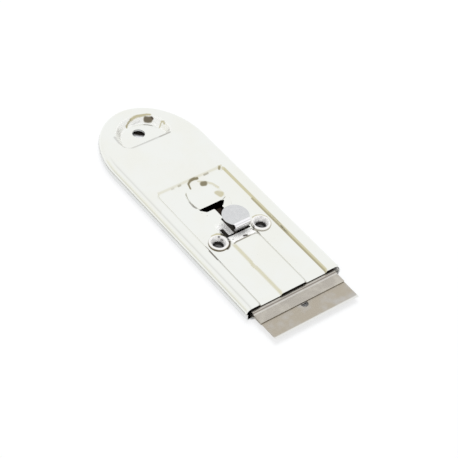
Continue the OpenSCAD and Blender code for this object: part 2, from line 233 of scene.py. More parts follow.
@dataclass(frozen=True)
class Metal:
    """A bare or plated sheet metal with rolling marks, faint clouds and painted reflections, shade and
    highlights.
    """

    name: str
    colour: Colour
    cloud: Colour
    # Colour of the grain lines, and of the painted reflections and shade; on the lever, a painted
    # highlight.
    bend: Colour
    rough: float
    grain: Grain = Grain.NONE
    cloud_size: float = 160.0
    cloud_share: float = 0.5
    grain_size: float = 5000.0
    grain_rough: float = 0.06
    grain_tint: float = 0.0
    bump: float = 0.02
    # Colour of the blade's sharpened bevel; on the jaw, a painted highlight on the step.
    edge: Optional[Colour] = None
    # Colour of painted shade and dark reflections, on insides and in recesses.
    inside: Colour = (0.05, 0.045, 0.04)
    # Colour and share of the paint that makes matte patches pale, a painted highlight.
    pale: Colour = (0.99, 0.985, 0.98)
    pale_share: float = 0.8
    cloud_span: tuple[float, float] = (0.42, 0.66)
    cloud_rough: float = 0.04
    rough_shift: float = 0.03
    matte_rough: float = 0.3
    matte_cover: float = 0.85
    bump_height: float = 0.0001

    def make(self) -> bpy.types.Material:
        """Builds the material.

        Returns:
            The finished material.
        """
        material, maker = fresh_material(self.name)
        place = maker.place()
        clouds = maker.get("ShaderNodeTexNoise", Vector=place, Scale=self.cloud_size, Detail=3.0,
                           Roughness=0.55)
        cloud = maker.span(clouds, *self.cloud_span)
        lines = maker.get("ShaderNodeMapping", Vector=place, Scale=self.grain.value)
        grain = maker.get("ShaderNodeTexNoise", Vector=lines, Scale=self.grain_size, Detail=2.0)
        matte = maker.mark("matte")
        colour = maker.mix(cloud * self.cloud_share, self.colour, self.cloud)
        colour = maker.mix((grain * self.grain_tint).clamp(), colour, self.bend)
        # Painted reflections and shade, then the blade's bevel or a painted highlight, then painted shade.
        colour = maker.mix(maker.mark("fold").clamp(), colour, self.bend)
        if self.edge is not None:
            colour = maker.mix(maker.mark("ground").clamp(), colour, self.edge)
        colour = maker.mix(maker.mark("inner").clamp(), colour, self.inside)
        # Matte patches painted pale, standing in for bright highlights.
        colour = maker.mix(matte.clamp() * self.pale_share, colour, self.pale)
        rough = cloud * self.cloud_rough + grain * self.grain_rough + matte * self.matte_rough
        rough = rough + (self.rough - self.rough_shift)
        metallic = (1.0 - matte * self.matte_cover).clamp()
        relief = (grain + cloud) * (1.0 - matte).clamp()
        bump = maker.get("ShaderNodeBump", Height=relief, Strength=self.bump, Distance=self.bump_height)
        shader = maker.get("ShaderNodeBsdfPrincipled", Base_Color=colour, Metallic=metallic,
                           Roughness=rough.clamp(), Normal=bump)
        maker.add("ShaderNodeOutputMaterial", Surface=shader)
        return material


class Finish(Enum):
    """The metal finishes of the scraper."""

    # Bend colours serve the grain lines and the painted reflections and shade (the lever's is a painted
    # highlight); inside colours are painted shade; the jaw's edge colour is a painted highlight.
    COVER = Metal("bright_nickel", (0.88, 0.893, 0.862), (0.87, 0.872, 0.81), (0.60, 0.55, 0.34), 0.10,
                  cloud_size=90.0, cloud_share=0.55, grain=Grain.ALONG, grain_rough=0.04, bump=0.015,
                  inside=(0.05, 0.03, 0.024))
    BASE = Metal("base_nickel", (0.80, 0.81, 0.80), (0.77, 0.78, 0.78), (0.62, 0.62, 0.60), 0.14,
                 cloud_size=120.0, grain=Grain.ALONG, grain_rough=0.05, inside=(0.022, 0.015, 0.011))
    EYELET = Metal("rolled_nickel", (0.95, 0.94, 0.93), (0.90, 0.88, 0.84), (0.42, 0.35, 0.24), 0.07,
                   cloud_size=700.0, cloud_share=0.5, inside=(0.02, 0.015, 0.013))
    JAW = Metal("jaw_steel", (0.51, 0.48, 0.43), (0.65, 0.62, 0.55), (0.17, 0.135, 0.12), 0.32,
                Grain.ACROSS, 210.0, 0.8, 7000.0, 0.12, 0.12, 0.05, edge=(0.78, 0.77, 0.74))
    BLADE = Metal("blade_steel", (0.485, 0.44, 0.365), (0.55, 0.535, 0.51), (0.20, 0.18, 0.16), 0.30,
                  Grain.ACROSS, 190.0, 0.8, 8000.0, 0.12, 0.12, 0.05, edge=(0.80, 0.80, 0.78))
    SPINE = Metal("spine_steel", (0.50, 0.49, 0.47), (0.44, 0.42, 0.40), (0.25, 0.24, 0.22), 0.3,
                  Grain.ACROSS, 300.0, 0.5, 6000.0)
    RIVET = Metal("rivet_steel", (0.62, 0.61, 0.59), (0.55, 0.53, 0.50), (0.30, 0.28, 0.26), 0.25)
    LEVER = Metal("lever_steel", (0.65, 0.66, 0.67), (0.72, 0.725, 0.73), (0.97, 0.96, 0.98), 0.22,
                  Grain.ACROSS, 900.0, 0.7, 9000.0, 0.10, 0.05, 0.03, inside=(0.018, 0.013, 0.009))


class Paint:
    """Hands out each finish's material, made once."""

    made: dict[Finish, bpy.types.Material] = {}

    @classmethod
    def of(cls, finish: Finish) -> bpy.types.Material:
        """Finds the material of a finish.

        Args:
            finish: The finish.

        Returns:
            Its material.
        """
        if finish not in cls.made:
            cls.made[finish] = finish.value.make()
        return cls.made[finish]


def soft_ramp(t: Array, fillet: float) -> Array:
    """Rises from 0 at t=0 to 1 at t=1 with both ends rounded.

    Args:
        t: Places along the ramp, in runs.
        fillet: Half the length of each rounding, in runs.

    Returns:
        The height of each place.
    """
    def half(u: Array) -> Array:
        """Height of one endless ramp with a rounded foot."""
        return np.where(u < fillet, np.clip(u + fillet, 0, None) ** 2 / (4 * fillet), u)
    return half(t) - half(t - 1)


def soft_min(a: Array, b: Array, reach: float) -> Array:
    """Returns the lower of two heights with the crossing rounded over the reach."""
    near = np.clip(reach - np.abs(a - b), 0, None) / reach
    return np.minimum(a, b) - near ** 2 * reach / 4


def fade(value: Array, none: float, full: float) -> Array:
    """Runs evenly from 0, where the value is none, to 1, where it is full."""
    return np.clip((value - none) / (full - none), 0, 1)


def bell(value: Array, middle: float, width: float) -> Array:
    """Returns a soft hump that is 1 in the middle."""
    return np.exp(-((value - middle) / width) ** 2)


def box_distance(x: Array, y: Array, half: float, end: float, corner: float) -> tuple[Array, Array]:
    """Distance outside a strip that is centred on x=0 and ends at a given y.

    Args:
        x: Places across.
        y: Places along.
        half: Half the strip's width.
        end: Where the strip ends.
        corner: Radius of its two corners.

    Returns:
        The signed distance, and the share of its direction that points along y.
    """
    qx, qy = np.abs(x) - half + corner, y - end + corner
    px, py = np.clip(qx, 0, None), np.clip(qy, 0, None)
    far = np.hypot(px, py)
    share = np.where(far > 0, py ** 2 / np.maximum(far ** 2, 1e-12), (qy > qx) * 1.0)
    return far + np.minimum(np.maximum(qx, qy), 0) - corner, share


def inside(points: Array, loop: Array) -> Array:
    """Tells which points lie inside a closed line.

    Args:
        points: Plan points.
        loop: Corners of the closed line.

    Returns:
        A flag for each point.
    """
    x, y = points[:, 0], points[:, 1]
    flag = np.zeros(len(points), bool)
    for (ax, ay), (bx, by) in zip(loop, np.roll(loop, -1, 0)):
        if ay != by:
            flag ^= ((ay > y) != (by > y)) & (x < (bx - ax) * (y - ay) / (by - ay) + ax)
    return flag


def between(points: Array, loops: Sequence[Array]) -> Array:
    """Tells which points lie inside the first line and outside the others.

    Args:
        points: Plan points.
        loops: The outline and then the openings, as closed lines.

    Returns:
        A flag for each point.
    """
    flag = inside(points, loops[0])
    for loop in loops[1:]:
        flag &= ~inside(points, loop)
    return flag


def stretch_distance(points: Array, starts: Sequence[Any], ends: Sequence[Any]) -> Array:
    """Distance from points to the nearest of some straight stretches.

    Args:
        points: Plan points.
        starts: Start of each stretch.
        ends: End of each stretch.

    Returns:
        The distance of each point, never negative.
    """
    best = np.full(len(points), FAR)
    for a, b in zip(starts, ends):
        d = np.subtract(b, a)
        t = np.clip(((points - a) @ d) / max(float(d @ d), TINY), 0, 1)
        best = np.minimum(best, np.hypot(*(points - a - t[:, None] * d).T))
    return best


def line_distance(points: Array, loop: Array) -> Array:
    """Returns the distance of each point from a closed line."""
    return stretch_distance(points, loop, np.roll(loop, -1, 0))


def circle(x: float, y: float, radius: float, count: int = 48) -> Array:
    """Returns the corners of a round line."""
    a = np.linspace(0, 2 * math.pi, count, endpoint=False)
    return np.column_stack([x + radius * np.cos(a), y + radius * np.sin(a)])


def unit(rows: Array) -> Array:
    """Brings each row to length 1."""
    return rows / np.maximum(np.linalg.norm(rows, axis=1), TINY)[:, None]


def round_corner(sides: Sequence[Array], radius: float, steps: int, limit: float) -> list[Array]:
    """Rounds one corner of a line.

    Args:
        sides: The point before the corner, the corner, and the point after it.
        radius: Radius of the rounding.
        steps: Pieces in the rounding.
        limit: The share of a side that it may take.

    Returns:
        The points that stand in for the corner.
    """
    before, here, after = sides
    u, v = before - here, after - here
    lu, lv = np.hypot(*u), np.hypot(*v)
    u, v = u / lu, v / lv
    turn = math.acos(max(-1.0, min(1.0, float(u @ v))))
    cut = min(radius / max(math.tan(turn / 2), 1e-6), limit * lu, limit * lv)
    if cut < LEAST_CUT:
        return [here]
    a, b = here + u * cut, here + v * cut
    return [(1 - t) ** 2 * a + 2 * t * (1 - t) * here + t ** 2 * b for t in np.linspace(0, 1, steps + 1)]


def round_corners(loop: Sequence[Triple], steps: int = 4) -> Array:
    """Rounds the corners of a closed line.

    Args:
        loop: Corners with the radius of each.
        steps: Pieces in each rounding.

    Returns:
        The points of the line.
    """
    points = np.array([p[:2] for p in loop], float)
    out: list[Array] = []
    for k, corner in enumerate(loop):
        sides = points[k - 1], points[k], points[(k + 1) % len(points)]
        out += round_corner(sides, corner[2], steps, 0.48)
    return np.array(out)


def bent_line(corners: Sequence[Triple], steps: int = 6) -> Array:
    """Rounds the inner corners of an open line.

    Args:
        corners: Corners with the radius of each.
        steps: Pieces in each rounding.

    Returns:
        The points of the line.
    """
    points = np.array([p[:2] for p in corners], float)
    out = [points[0]]
    for before, here, after, corner in zip(points, points[1:], points[2:], corners[1:]):
        out += round_corner((before, here, after), corner[2], steps, 0.49)
    return np.array([*out, points[-1]])


def split_long(loop: Array, step: float) -> Array:
    """Adds points to a closed line so that no stretch is too long.

    Args:
        loop: Corners of the closed line.
        step: The most that a stretch may measure.

    Returns:
        The points of the line.
    """
    out: list[Array] = []
    for a, b in zip(loop, np.roll(loop, -1, 0)):
        count = max(1, int(math.ceil(np.hypot(*(b - a)) / step)))
        out.extend(a + (b - a) * k / count for k in range(count))
    return np.array(out)


def shaded_mesh(name: str, points: Sequence[Any], faces: Sequence[tuple[int, ...]],
                normals: Sequence[Any], marks: Marks) -> bpy.types.Mesh:
    """Makes a smooth mesh with its own shading normals and marks.

    Args:
        name: The mesh's name.
        points: Its points, in metres.
        faces: Its faces.
        normals: A direction for each point, or for each corner of the faces.
        marks: A value for each point, by the mark's name.

    Returns:
        The mesh.
    """
    mesh = bpy.data.meshes.new(name)
    mesh.from_pydata([tuple(p) for p in points], [], faces)
    mesh.shade_smooth()
    if len(normals) < len(mesh.loops):
        normals = [normals[loop.vertex_index] for loop in mesh.loops]
    mesh.normals_split_custom_set([tuple(n) for n in normals])
    for key, values in marks.items():
        layer = mesh.attributes.new(key, "FLOAT", "POINT")
        layer.data.foreach_set("value", np.asarray(values, np.float32))
    return mesh


def put(name: str, data: Any) -> bpy.types.Object:
    """Adds an object to the scene.

    Args:
        name: Its name.
        data: Its mesh, lamp or camera.

    Returns:
        The object.
    """
    item = bpy.data.objects.new(name, data)
    bpy.context.scene.collection.objects.link(item)
    return item


@dataclass(frozen=True)
class PaintedStreak:
    """Painted reflection and shade, drawn along a plan line: dark mirrored shapes and shade between parts.
    """

    line: tuple[tuple[float, float], ...]
    width: float
    # How much painted reflection tint and painted dark shade the line lays down.
    fold: float = 0.0
    dark: float = 0.0

    def share(self, x: Array, t: Array) -> Array:
        """Tells how far plan places lie under the streak.

        Args:
            x: Places across.
            t: Places along, from the front edge.

        Returns:
            A share from 0 to 1 for each place.
        """
        best = stretch_distance(np.column_stack([x, t]), self.line, self.line[1:] or self.line)
        u = np.clip(2 * best / self.width - 1, 0, 1)
        return 1 - u * u * (3 - 2 * u)


# Painted reflections and shade. Plan lines in millimetres: across, and along from the front edge of the top
# cover.
PAINTED_STREAKS: tuple[PaintedStreak, ...] = (
    PaintedStreak(((-1.4, 62.0), (-1.3, 62.9), (-1.1, 63.8), (0.1, 64.45), (1.7, 64.6), (3.6, 64.3)),
           0.48, 1.0, 0.62),
    PaintedStreak(((3.9, 61.7), (5.0, 61.2)), 1.05, 0.9, 0.62),
    PaintedStreak(((3.0, 63.2), (5.4, 61.6), (7.1, 59.4), (7.9, 56.6)), 0.45, 0.5, 0.0),
    PaintedStreak(((6.3, 55.3), (6.8, 53.5)), 1.35, 0.75, 0.05),
    PaintedStreak(((-6.2, 55.6), (-6.35, 54.2), (-6.4, 52.9), (-6.0, 51.8)), 0.6, 0.2, 0.6),
    PaintedStreak(((-5.4, 64.5), (-4.2, 64.5)), 0.34, 0.5, 0.28),
    PaintedStreak(((-8.5, 64.4), (-7.4, 64.4)), 0.32, 0.3, 0.14),
    PaintedStreak(((6.6, 64.45), (8.7, 64.5)), 0.28, 0.5, 0.35),
    PaintedStreak(((13.8, 64.4), (14.1, 64.5)), 0.6, 1.0, 0.4),
    PaintedStreak(((13.9, 65.0), (15.0, 64.8)), 0.4, 0.6, 0.0),
    PaintedStreak(((-14.5, 64.75), (14.0, 64.75)), 0.4, 0.35, 0.0),
    PaintedStreak(((-8.7, 29.1), (-7.5, 29.7), (-6.6, 30.65), (-6.0, 31.5)), 0.8, 0.6, 0.9),
    PaintedStreak(((-4.35, 31.4), (-4.2, 31.4)), 0.35, 0.0, 0.6),
    PaintedStreak(((0.1, 30.4), (0.9, 30.2)), 0.75, 0.3, 0.75),
    PaintedStreak(((4.5, 32.5), (5.1, 32.6), (5.3, 31.9)), 0.35, 0.3, 0.65),
    PaintedStreak(((-5.2, 29.2), (1.6, 29.25)), 0.45, 0.5, 0.6),
    PaintedStreak(((1.6, 29.25), (4.4, 29.1), (5.0, 28.4), (5.2, 27.0)), 0.42, 0.2, 0.45),
    PaintedStreak(((5.2, 27.0), (5.2, 0.8)), 0.4, 0.05, 0.26),
    PaintedStreak(((14.85, 45.0), (14.85, 0.9)), 0.36, 0.9, 0.3),
    PaintedStreak(((-9.7, 36.95), (-7.6, 36.95), (-6.15, 35.95), (-5.3, 34.4)), 0.6, 0.85, 0.05),
    PaintedStreak(((9.3, 36.9), (10.9, 36.95), (12.7, 36.0), (13.6, 34.5), (13.2, 33.0)), 0.6, 0.75, 0.1),
    PaintedStreak(((-15.6, 30.6), (-15.6, 25.6)), 0.55, 0.2, 0.85),
    PaintedStreak(((-15.65, 25.6), (-15.65, 0.8)), 0.45, 0.1, 0.28),
    PaintedStreak(((-15.65, 31.5), (-15.65, 63.0)), 0.5, 0.1, 0.06),
    PaintedStreak(((-2.3, 103.3), (-1.2, 104.0), (0.5, 104.6)), 0.34, 1.0, 0.4),
    PaintedStreak(((0.5, 104.55), (2.0, 104.7), (3.5, 104.6), (7.1, 103.3), (8.2, 102.5)), 0.6, 0.9, 0.15),
    PaintedStreak(((-2.4, 103.2), (-2.1, 103.45)), 0.5, 1.0, 0.35),
    PaintedStreak(((8.1, 101.5), (8.4, 100.7)), 0.36, 0.7, 0.95),
    PaintedStreak(((6.0, 102.4), (6.8, 101.7), (7.7, 101.1)), 1.05, 0.8, 0.8),
    PaintedStreak(((8.9, 96.7), (10.2, 97.5), (10.7, 96.9), (10.6, 95.9)), 0.36, 0.8, 0.15),
    PaintedStreak(((0.5, 103.4), (3.9, 103.1)), 0.3, 0.0, 0.25),
    PaintedStreak(((-11.1, 98.5), (-11.35, 95.1), (-10.8, 92.2), (-8.4, 90.35), (-1.7, 90.2), (4.3, 90.25)),
           0.75, 0.0, 0.26),
    PaintedStreak(((4.3, 90.25), (8.8, 90.35)), 0.75, 0.1, 0.45),
)


@dataclass
class Sheet:
    """A piece of sheet metal: one skin of faces, given a thickness and rounded raw edges."""

    outer: Array
    normal: Array
    faces: Faces
    thickness: Union[float, Array]
    marks: Marks = field(default_factory=dict)
    under: dict[str, Union[float, Array]] = field(default_factory=dict)
    edge_round: float = 0.12
    edge_steps: int = 4

    def mesh(self, name: str) -> bpy.types.Mesh:
        """Builds the closed mesh.

        Args:
            name: The mesh's name.

        Returns:
            The mesh, in metres, with its own shading normals and marks.
        """
        count = len(self.outer)
        depth = np.broadcast_to(np.asarray(self.thickness, float), (count,))[:, None]
        inner = self.outer - self.normal * depth
        points = [*self.outer, *inner]
        normals = [*self.normal, *(-self.normal)]
        faces: Faces = list(self.faces)
        faces += [tuple(count + i for i in reversed(f)) for f in self.faces]
        used: dict[tuple[int, int], int] = {}
        for f in self.faces:
            for a, b in zip(f, (*f[1:], f[0])):
                used[(a, b)] = used.get((a, b), 0) + 1
        border = [(a, b) for a, b in used if (b, a) not in used]
        out_way: dict[int, Array] = {}
        for a, b in border:
            along = self.outer[b] - self.outer[a]
            along = along / max(float(np.linalg.norm(along)), 1e-9)
            for i in (a, b):
                out_way[i] = out_way.get(i, np.zeros(3)) + np.cross(along, self.normal[i])
        ladder: dict[int, list[int]] = {}
        origin: dict[int, int] = {}
        for i, way in out_way.items():
            size = float(np.linalg.norm(way))
            way = way / size if size > 1e-9 else way
            middle, half = (self.outer[i] + inner[i]) / 2, (self.outer[i] - inner[i]) / 2
            ids = [i]
            for k in range(1, self.edge_steps):
                angle = math.pi * k / self.edge_steps
                reach = min(self.edge_round, 2 * float(np.linalg.norm(half)))
                points.append(middle + half * math.cos(angle) + way * reach * math.sin(angle))
                bulge = self.normal[i] * math.cos(angle) + way * math.sin(angle)
                normals.append(bulge / max(float(np.linalg.norm(bulge)), 1e-9))
                origin[len(points) - 1] = i
                ids.append(len(points) - 1)
            ids.append(count + i)
            ladder[i] = ids
        for a, b in border:
            for k in range(self.edge_steps):
                faces.append((ladder[b][k], ladder[a][k], ladder[a][k + 1], ladder[b][k + 1]))
        marks: Marks = {}
        for key in {**self.marks, **self.under}:
            values = self.marks.get(key, np.zeros(count))
            full = np.zeros(len(points), np.float32)
            full[:count] = values
            full[count:2 * count] = self.under.get(key, values)
            full[list(origin)] = values[list(origin.values())]
            marks[key] = full
        return shaded_mesh(name, [p * MM for p in points], faces, normals, marks)


def fill_plan(loops: list[Array], points: Array, keep_off: float) -> tuple[Array, Faces]:
    """Joins plan points into triangles inside the first line and outside the others.

    Args:
        loops: The outline and then the openings, as closed lines.
        points: Points to use between the lines.
        keep_off: Least distance of such a point from any line.

    Returns:
        The plan points, and the triangles, anticlockwise.
    """
    points = points[between(points, loops)]
    for loop in loops:
        points = points[line_distance(points, loop) > keep_off]
    edges: list[tuple[int, int]] = []
    start = 0
    for loop in loops:
        size = len(loop)
        edges += [(start + k, start + (k + 1) % size) for k in range(size)]
        start += size
    plan = np.vstack([*loops, points])
    found = delaunay_2d_cdt([Vector(p) for p in plan], edges, [], 0, 1e-5, False)
    corners = np.array([tuple(v) for v in found[0]])
    faces = np.array([tuple(f) for f in found[2]])
    kept = faces[between(corners[faces].mean(1), loops)]
    return corners, [tuple(int(i) for i in f) for f in kept]


def grid_points(x0: float, x1: float, y0: float, y1: float, step: float,
                height: PlanValue, coarse: int = 5, fine: Optional[PlanValue] = None) -> Array:
    """Spreads points over a plan, close together where the surface bends.

    Args:
        x0: Left end of the plan.
        x1: Right end.
        y0: Front end.
        y1: Rear end.
        step: Spacing on bends.
        height: Height of the surface.
        coarse: Spacing on flats, in steps.
        fine: Tells where flats need close points too.

    Returns:
        The plan points.
    """
    xs, ys = np.arange(x0, x1 + step, step), np.arange(y0, y1 + step, step)
    gx, gy = np.meshgrid(xs, ys)
    z = height(gx, gy)
    bend = np.zeros_like(z)
    bend[:, 1:-1] += np.abs(z[:, 2:] + z[:, :-2] - 2 * z[:, 1:-1])
    bend[1:-1] += np.abs(z[2:] + z[:-2] - 2 * z[1:-1])
    bend[0], bend[-1] = bend[1], bend[-2]
    busy = bend > LEAST_BEND
    for shift in (-1, 1):
        busy = busy | np.roll(busy, shift, 0) | np.roll(busy, shift, 1)
    iy, ix = np.indices(z.shape)
    sparse = (iy % coarse == 0) & ((ix + (iy // coarse % 2) * (coarse // 2)) % coarse == 0)
    keep = busy | sparse
    if fine is not None:
        keep |= fine(gx.ravel(), gy.ravel()).reshape(keep.shape)
    return np.column_stack([gx[keep], gy[keep]])


def add_piece(name: str, mesh: bpy.types.Mesh, finish: Finish, body: Body, *nodes: str,
              slot: str = "") -> bpy.types.Object:
    """Adds a finished mesh to the scene and ties it to the frame.

    Args:
        name: The piece's name.
        mesh: Its mesh, in the row frame.
        finish: Its finish.
        body: The body that it rides on.
        nodes: The CAD nodes that it stands for.
        slot: The record's material slot. Not used.

    Returns:
        The piece.
    """
    piece = put(name, mesh)
    mesh.materials.clear()
    mesh.materials.append(Paint.of(finish))
    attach(piece, body.value)
    if nodes:
        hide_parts(*nodes)
    log.info("piece %s: %d faces", name, len(mesh.polygons))
    return piece


def join_meshes(name: str, parts: Sequence[bpy.types.Mesh]) -> bpy.types.Mesh:
    """Joins meshes into one and keeps their shading normals and marks.

    Args:
        name: The new mesh's name.
        parts: The meshes to join.

    Returns:
        The joined mesh.
    """
    points: list[Array] = []
    faces: Faces = []
    normals: list[Array] = []
    marks: dict[str, list[Array]] = {key: [] for key in MARKS}
    start = 0
    for part in parts:
        size = len(part.vertices)
        co = np.zeros(size * 3)
        part.vertices.foreach_get("co", co)
        points.append(co.reshape(-1, 3))
        faces += [tuple(start + i for i in p.vertices) for p in part.polygons]
        normals.append(np.array([tuple(n.vector) for n in part.corner_normals]))
        for key, found in marks.items():
            values = np.zeros(size, np.float32)
            if key in part.attributes:
                part.attributes[key].data.foreach_get("value", values)
            found.append(values)
        start += size
    joined = {key: np.concatenate(found) for key, found in marks.items()}
    return shaded_mesh(name, np.vstack(points), faces, np.vstack(normals), joined)


@dataclass(frozen=True)
class Outline:
    """Plan that both covers share: straight sides, a long round rear end and the round holes."""

    half: float = 21.5
    length: float = 111.5
    end: float = 27.8
    hole_y: float = 98.2
    hole_r: float = 2.6
    eyelet_x: float = 9.85
    eyelet_y: float = 32.8
    eyelet_hole_r: float = 2.6

    @property
    def front(self) -> float:
        """Place of the front edge."""
        return -self.length / 2

    @property
    def arch(self) -> float:
        """Place where the round rear end starts."""
        return self.length / 2 - self.end

    def guide(self, start: float, step: float, turns: int) -> Guide:
        """Spreads guide places along the left side, round the rear and down the right side.

        Args:
            start: Place of the first and last point along the tool.
            step: Spacing on the straight sides.
            turns: Pieces in the round end.

        Returns:
            Cosine, sine and base place of each guide place.
        """
        sides = np.arange(start, self.arch, step)
        turn = np.linspace(math.pi, 0, turns + 1)
        cos = np.concatenate([-np.ones(len(sides)), np.cos(turn), np.ones(len(sides))])
        sin = np.concatenate([np.zeros(len(sides)), np.sin(turn), np.zeros(len(sides))])
        base = np.concatenate([sides, np.full(turns + 1, self.arch), sides[::-1]])
        return cos, sin, base

    def ring(self, guide: Guide, inset: float) -> tuple[Array, Array]:
        """Places a guide's points at an inset from the outline.

        Args:
            guide: The guide's cosines, sines and bases.
            inset: Distance in from the outline.

        Returns:
            Plan points, and the directions that point outwards there.
        """
        cos, sin, base = guide
        a, b = self.half - inset, self.end - inset
        points = np.column_stack([a * cos, base + b * sin])
        return points, unit(np.column_stack([cos / a, sin / b]))

    def holes(self) -> list[Array]:
        """Draws the rims of the hang hole and of the eyelets' holes.

        Returns:
            One closed line for each hole.
        """
        row = self.front + self.eyelet_y
        return [circle(0, self.front + self.hole_y, self.hole_r, 56),
                *(circle(side * self.eyelet_x, row, self.eyelet_hole_r) for side in (1, -1))]


@dataclass
class Stamping:
    """Builds a stamped cover: a pressed plan with openings, and a bent edge swept round it."""

    outline: Outline
    height: PlanValue
    profile: list[Triple]
    openings: list[Array]
    start: float
    thickness: float
    facing: float = 1.0
    spacing: float = 0.24
    tint: Callable[[Array, Array, Array], Marks] = lambda p, n, r: {}
    fine: Optional[PlanValue] = None
    lip: Optional[Callable[[Array, Array], tuple[Array, Array]]] = None
    # Painted shade inside the cover, darker behind the front edge, and a painted pale highlight inside the
    # right front corner.
    mouth: float = 2.0
    mouth_dark: float = 0.35
    mouth_right: float = 17.0
    mouth_side: float = 1.5
    mouth_pale: float = 0.9
    edge_step: float = 0.7
    edge_turns: int = 120
    front_spacing: float = 0.25
    front_clear: float = 0.1
    rim_clear: float = 0.45
    probe: float = 0.01

    def pressed(self, guide: Guide) -> tuple[Array, Array, Faces, list[int]]:
        """Makes the pressed plan inside the bent edge.

        Args:
            guide: Guide places of the bent edge.

        Returns:
            Points, their directions, faces, and the numbers of the points along the rim.
        """
        rim, _ = self.outline.ring(guide, self.profile[0][0])
        front = split_long(np.array([rim[-1], rim[0]]), self.front_spacing)
        front = front[1:len(front) // 2 + 1]
        right, left = rim[-1, 0] - self.front_clear, rim[0, 0] + self.front_clear
        front = front[(front[:, 0] < right) & (front[:, 0] > left)]
        spread = grid_points(-self.outline.half, self.outline.half, self.start, -self.outline.front,
                             self.spacing, self.height, fine=self.fine)
        loops = [np.vstack([rim, front]), *self.openings]
        plan, faces = fill_plan(loops, spread, self.spacing * self.rim_clear)
        x, y = plan.T
        h = self.probe
        gx = (self.height(x + h, y) - self.height(x - h, y)) / (2 * h)
        gy = (self.height(x, y + h) - self.height(x, y - h)) / (2 * h)
        normal = unit(np.column_stack([-gx, -gy, np.ones(len(x))])) * self.facing
        if self.facing < 0:
            faces = [tuple(reversed(f)) for f in faces]
        order = [int(np.argmin(np.hypot(*(plan[:len(rim) + 4] - p).T))) for p in rim]
        return np.column_stack([x, y, self.height(x, y)]), normal, faces, order

    def sheet(self) -> Sheet:
        """Builds the cover's sheet.

        Returns:
            The sheet, with its painted reflections and shade, painted shade on its inside and a painted
            pale highlight inside the right front corner.
        """
        guide = self.outline.guide(self.start, self.edge_step, self.edge_turns)
        points, normal, faces, before = self.pressed(guide)
        size, total = len(before), len(points)
        stack, way_stack = [points], [normal]
        next_ring, _ = self.outline.ring(guide, self.profile[1][0])
        mid = size // 4
        a, b = points[before[mid]], points[before[mid + 1]]
        c = np.array([*next_ring[mid + 1], self.profile[1][1]])
        forward = float(np.cross(b - a, c - b) @ normal[before[mid]]) > 0
        for inset, z, angle in self.profile[1:]:
            ring, way = self.outline.ring(guide, inset)
            stack.append(np.column_stack([ring, np.full(size, z)]))
            way_stack.append(np.column_stack([way * math.cos(angle), np.full(size, math.sin(angle))]))
            now = list(range(total, total + size))
            quads = list(zip(before, before[1:], now[1:], now))
            faces += quads if forward else [tuple(reversed(quad)) for quad in quads]
            before, total = now, total + size
        outer, normals = np.vstack(stack), np.vstack(way_stack)
        marks = self.tint(outer, normals, np.arange(len(outer)) >= len(points))
        if self.lip is not None:
            drop, slope = self.lip(outer[:, 1], outer[:, 2])
            outer[:, 2] -= drop
            normals[:, 1] += slope * normals[:, 2]
            normals = unit(normals)
        # Painted shade on the inside, deeper behind the front edge, and a painted pale highlight inside the
        # right corner.
        deep = fade(outer[:, 1], self.start + self.mouth / 2, self.start + self.mouth * 1.5)
        right = fade(outer[:, 0], self.mouth_right, self.mouth_right + self.mouth_side)
        dark = np.maximum(deep, self.mouth_dark * (1 - right))
        return Sheet(outer, normals, faces, self.thickness, marks,
                     under={"inner": dark, "matte": right * (1 - deep) * self.mouth_pale})


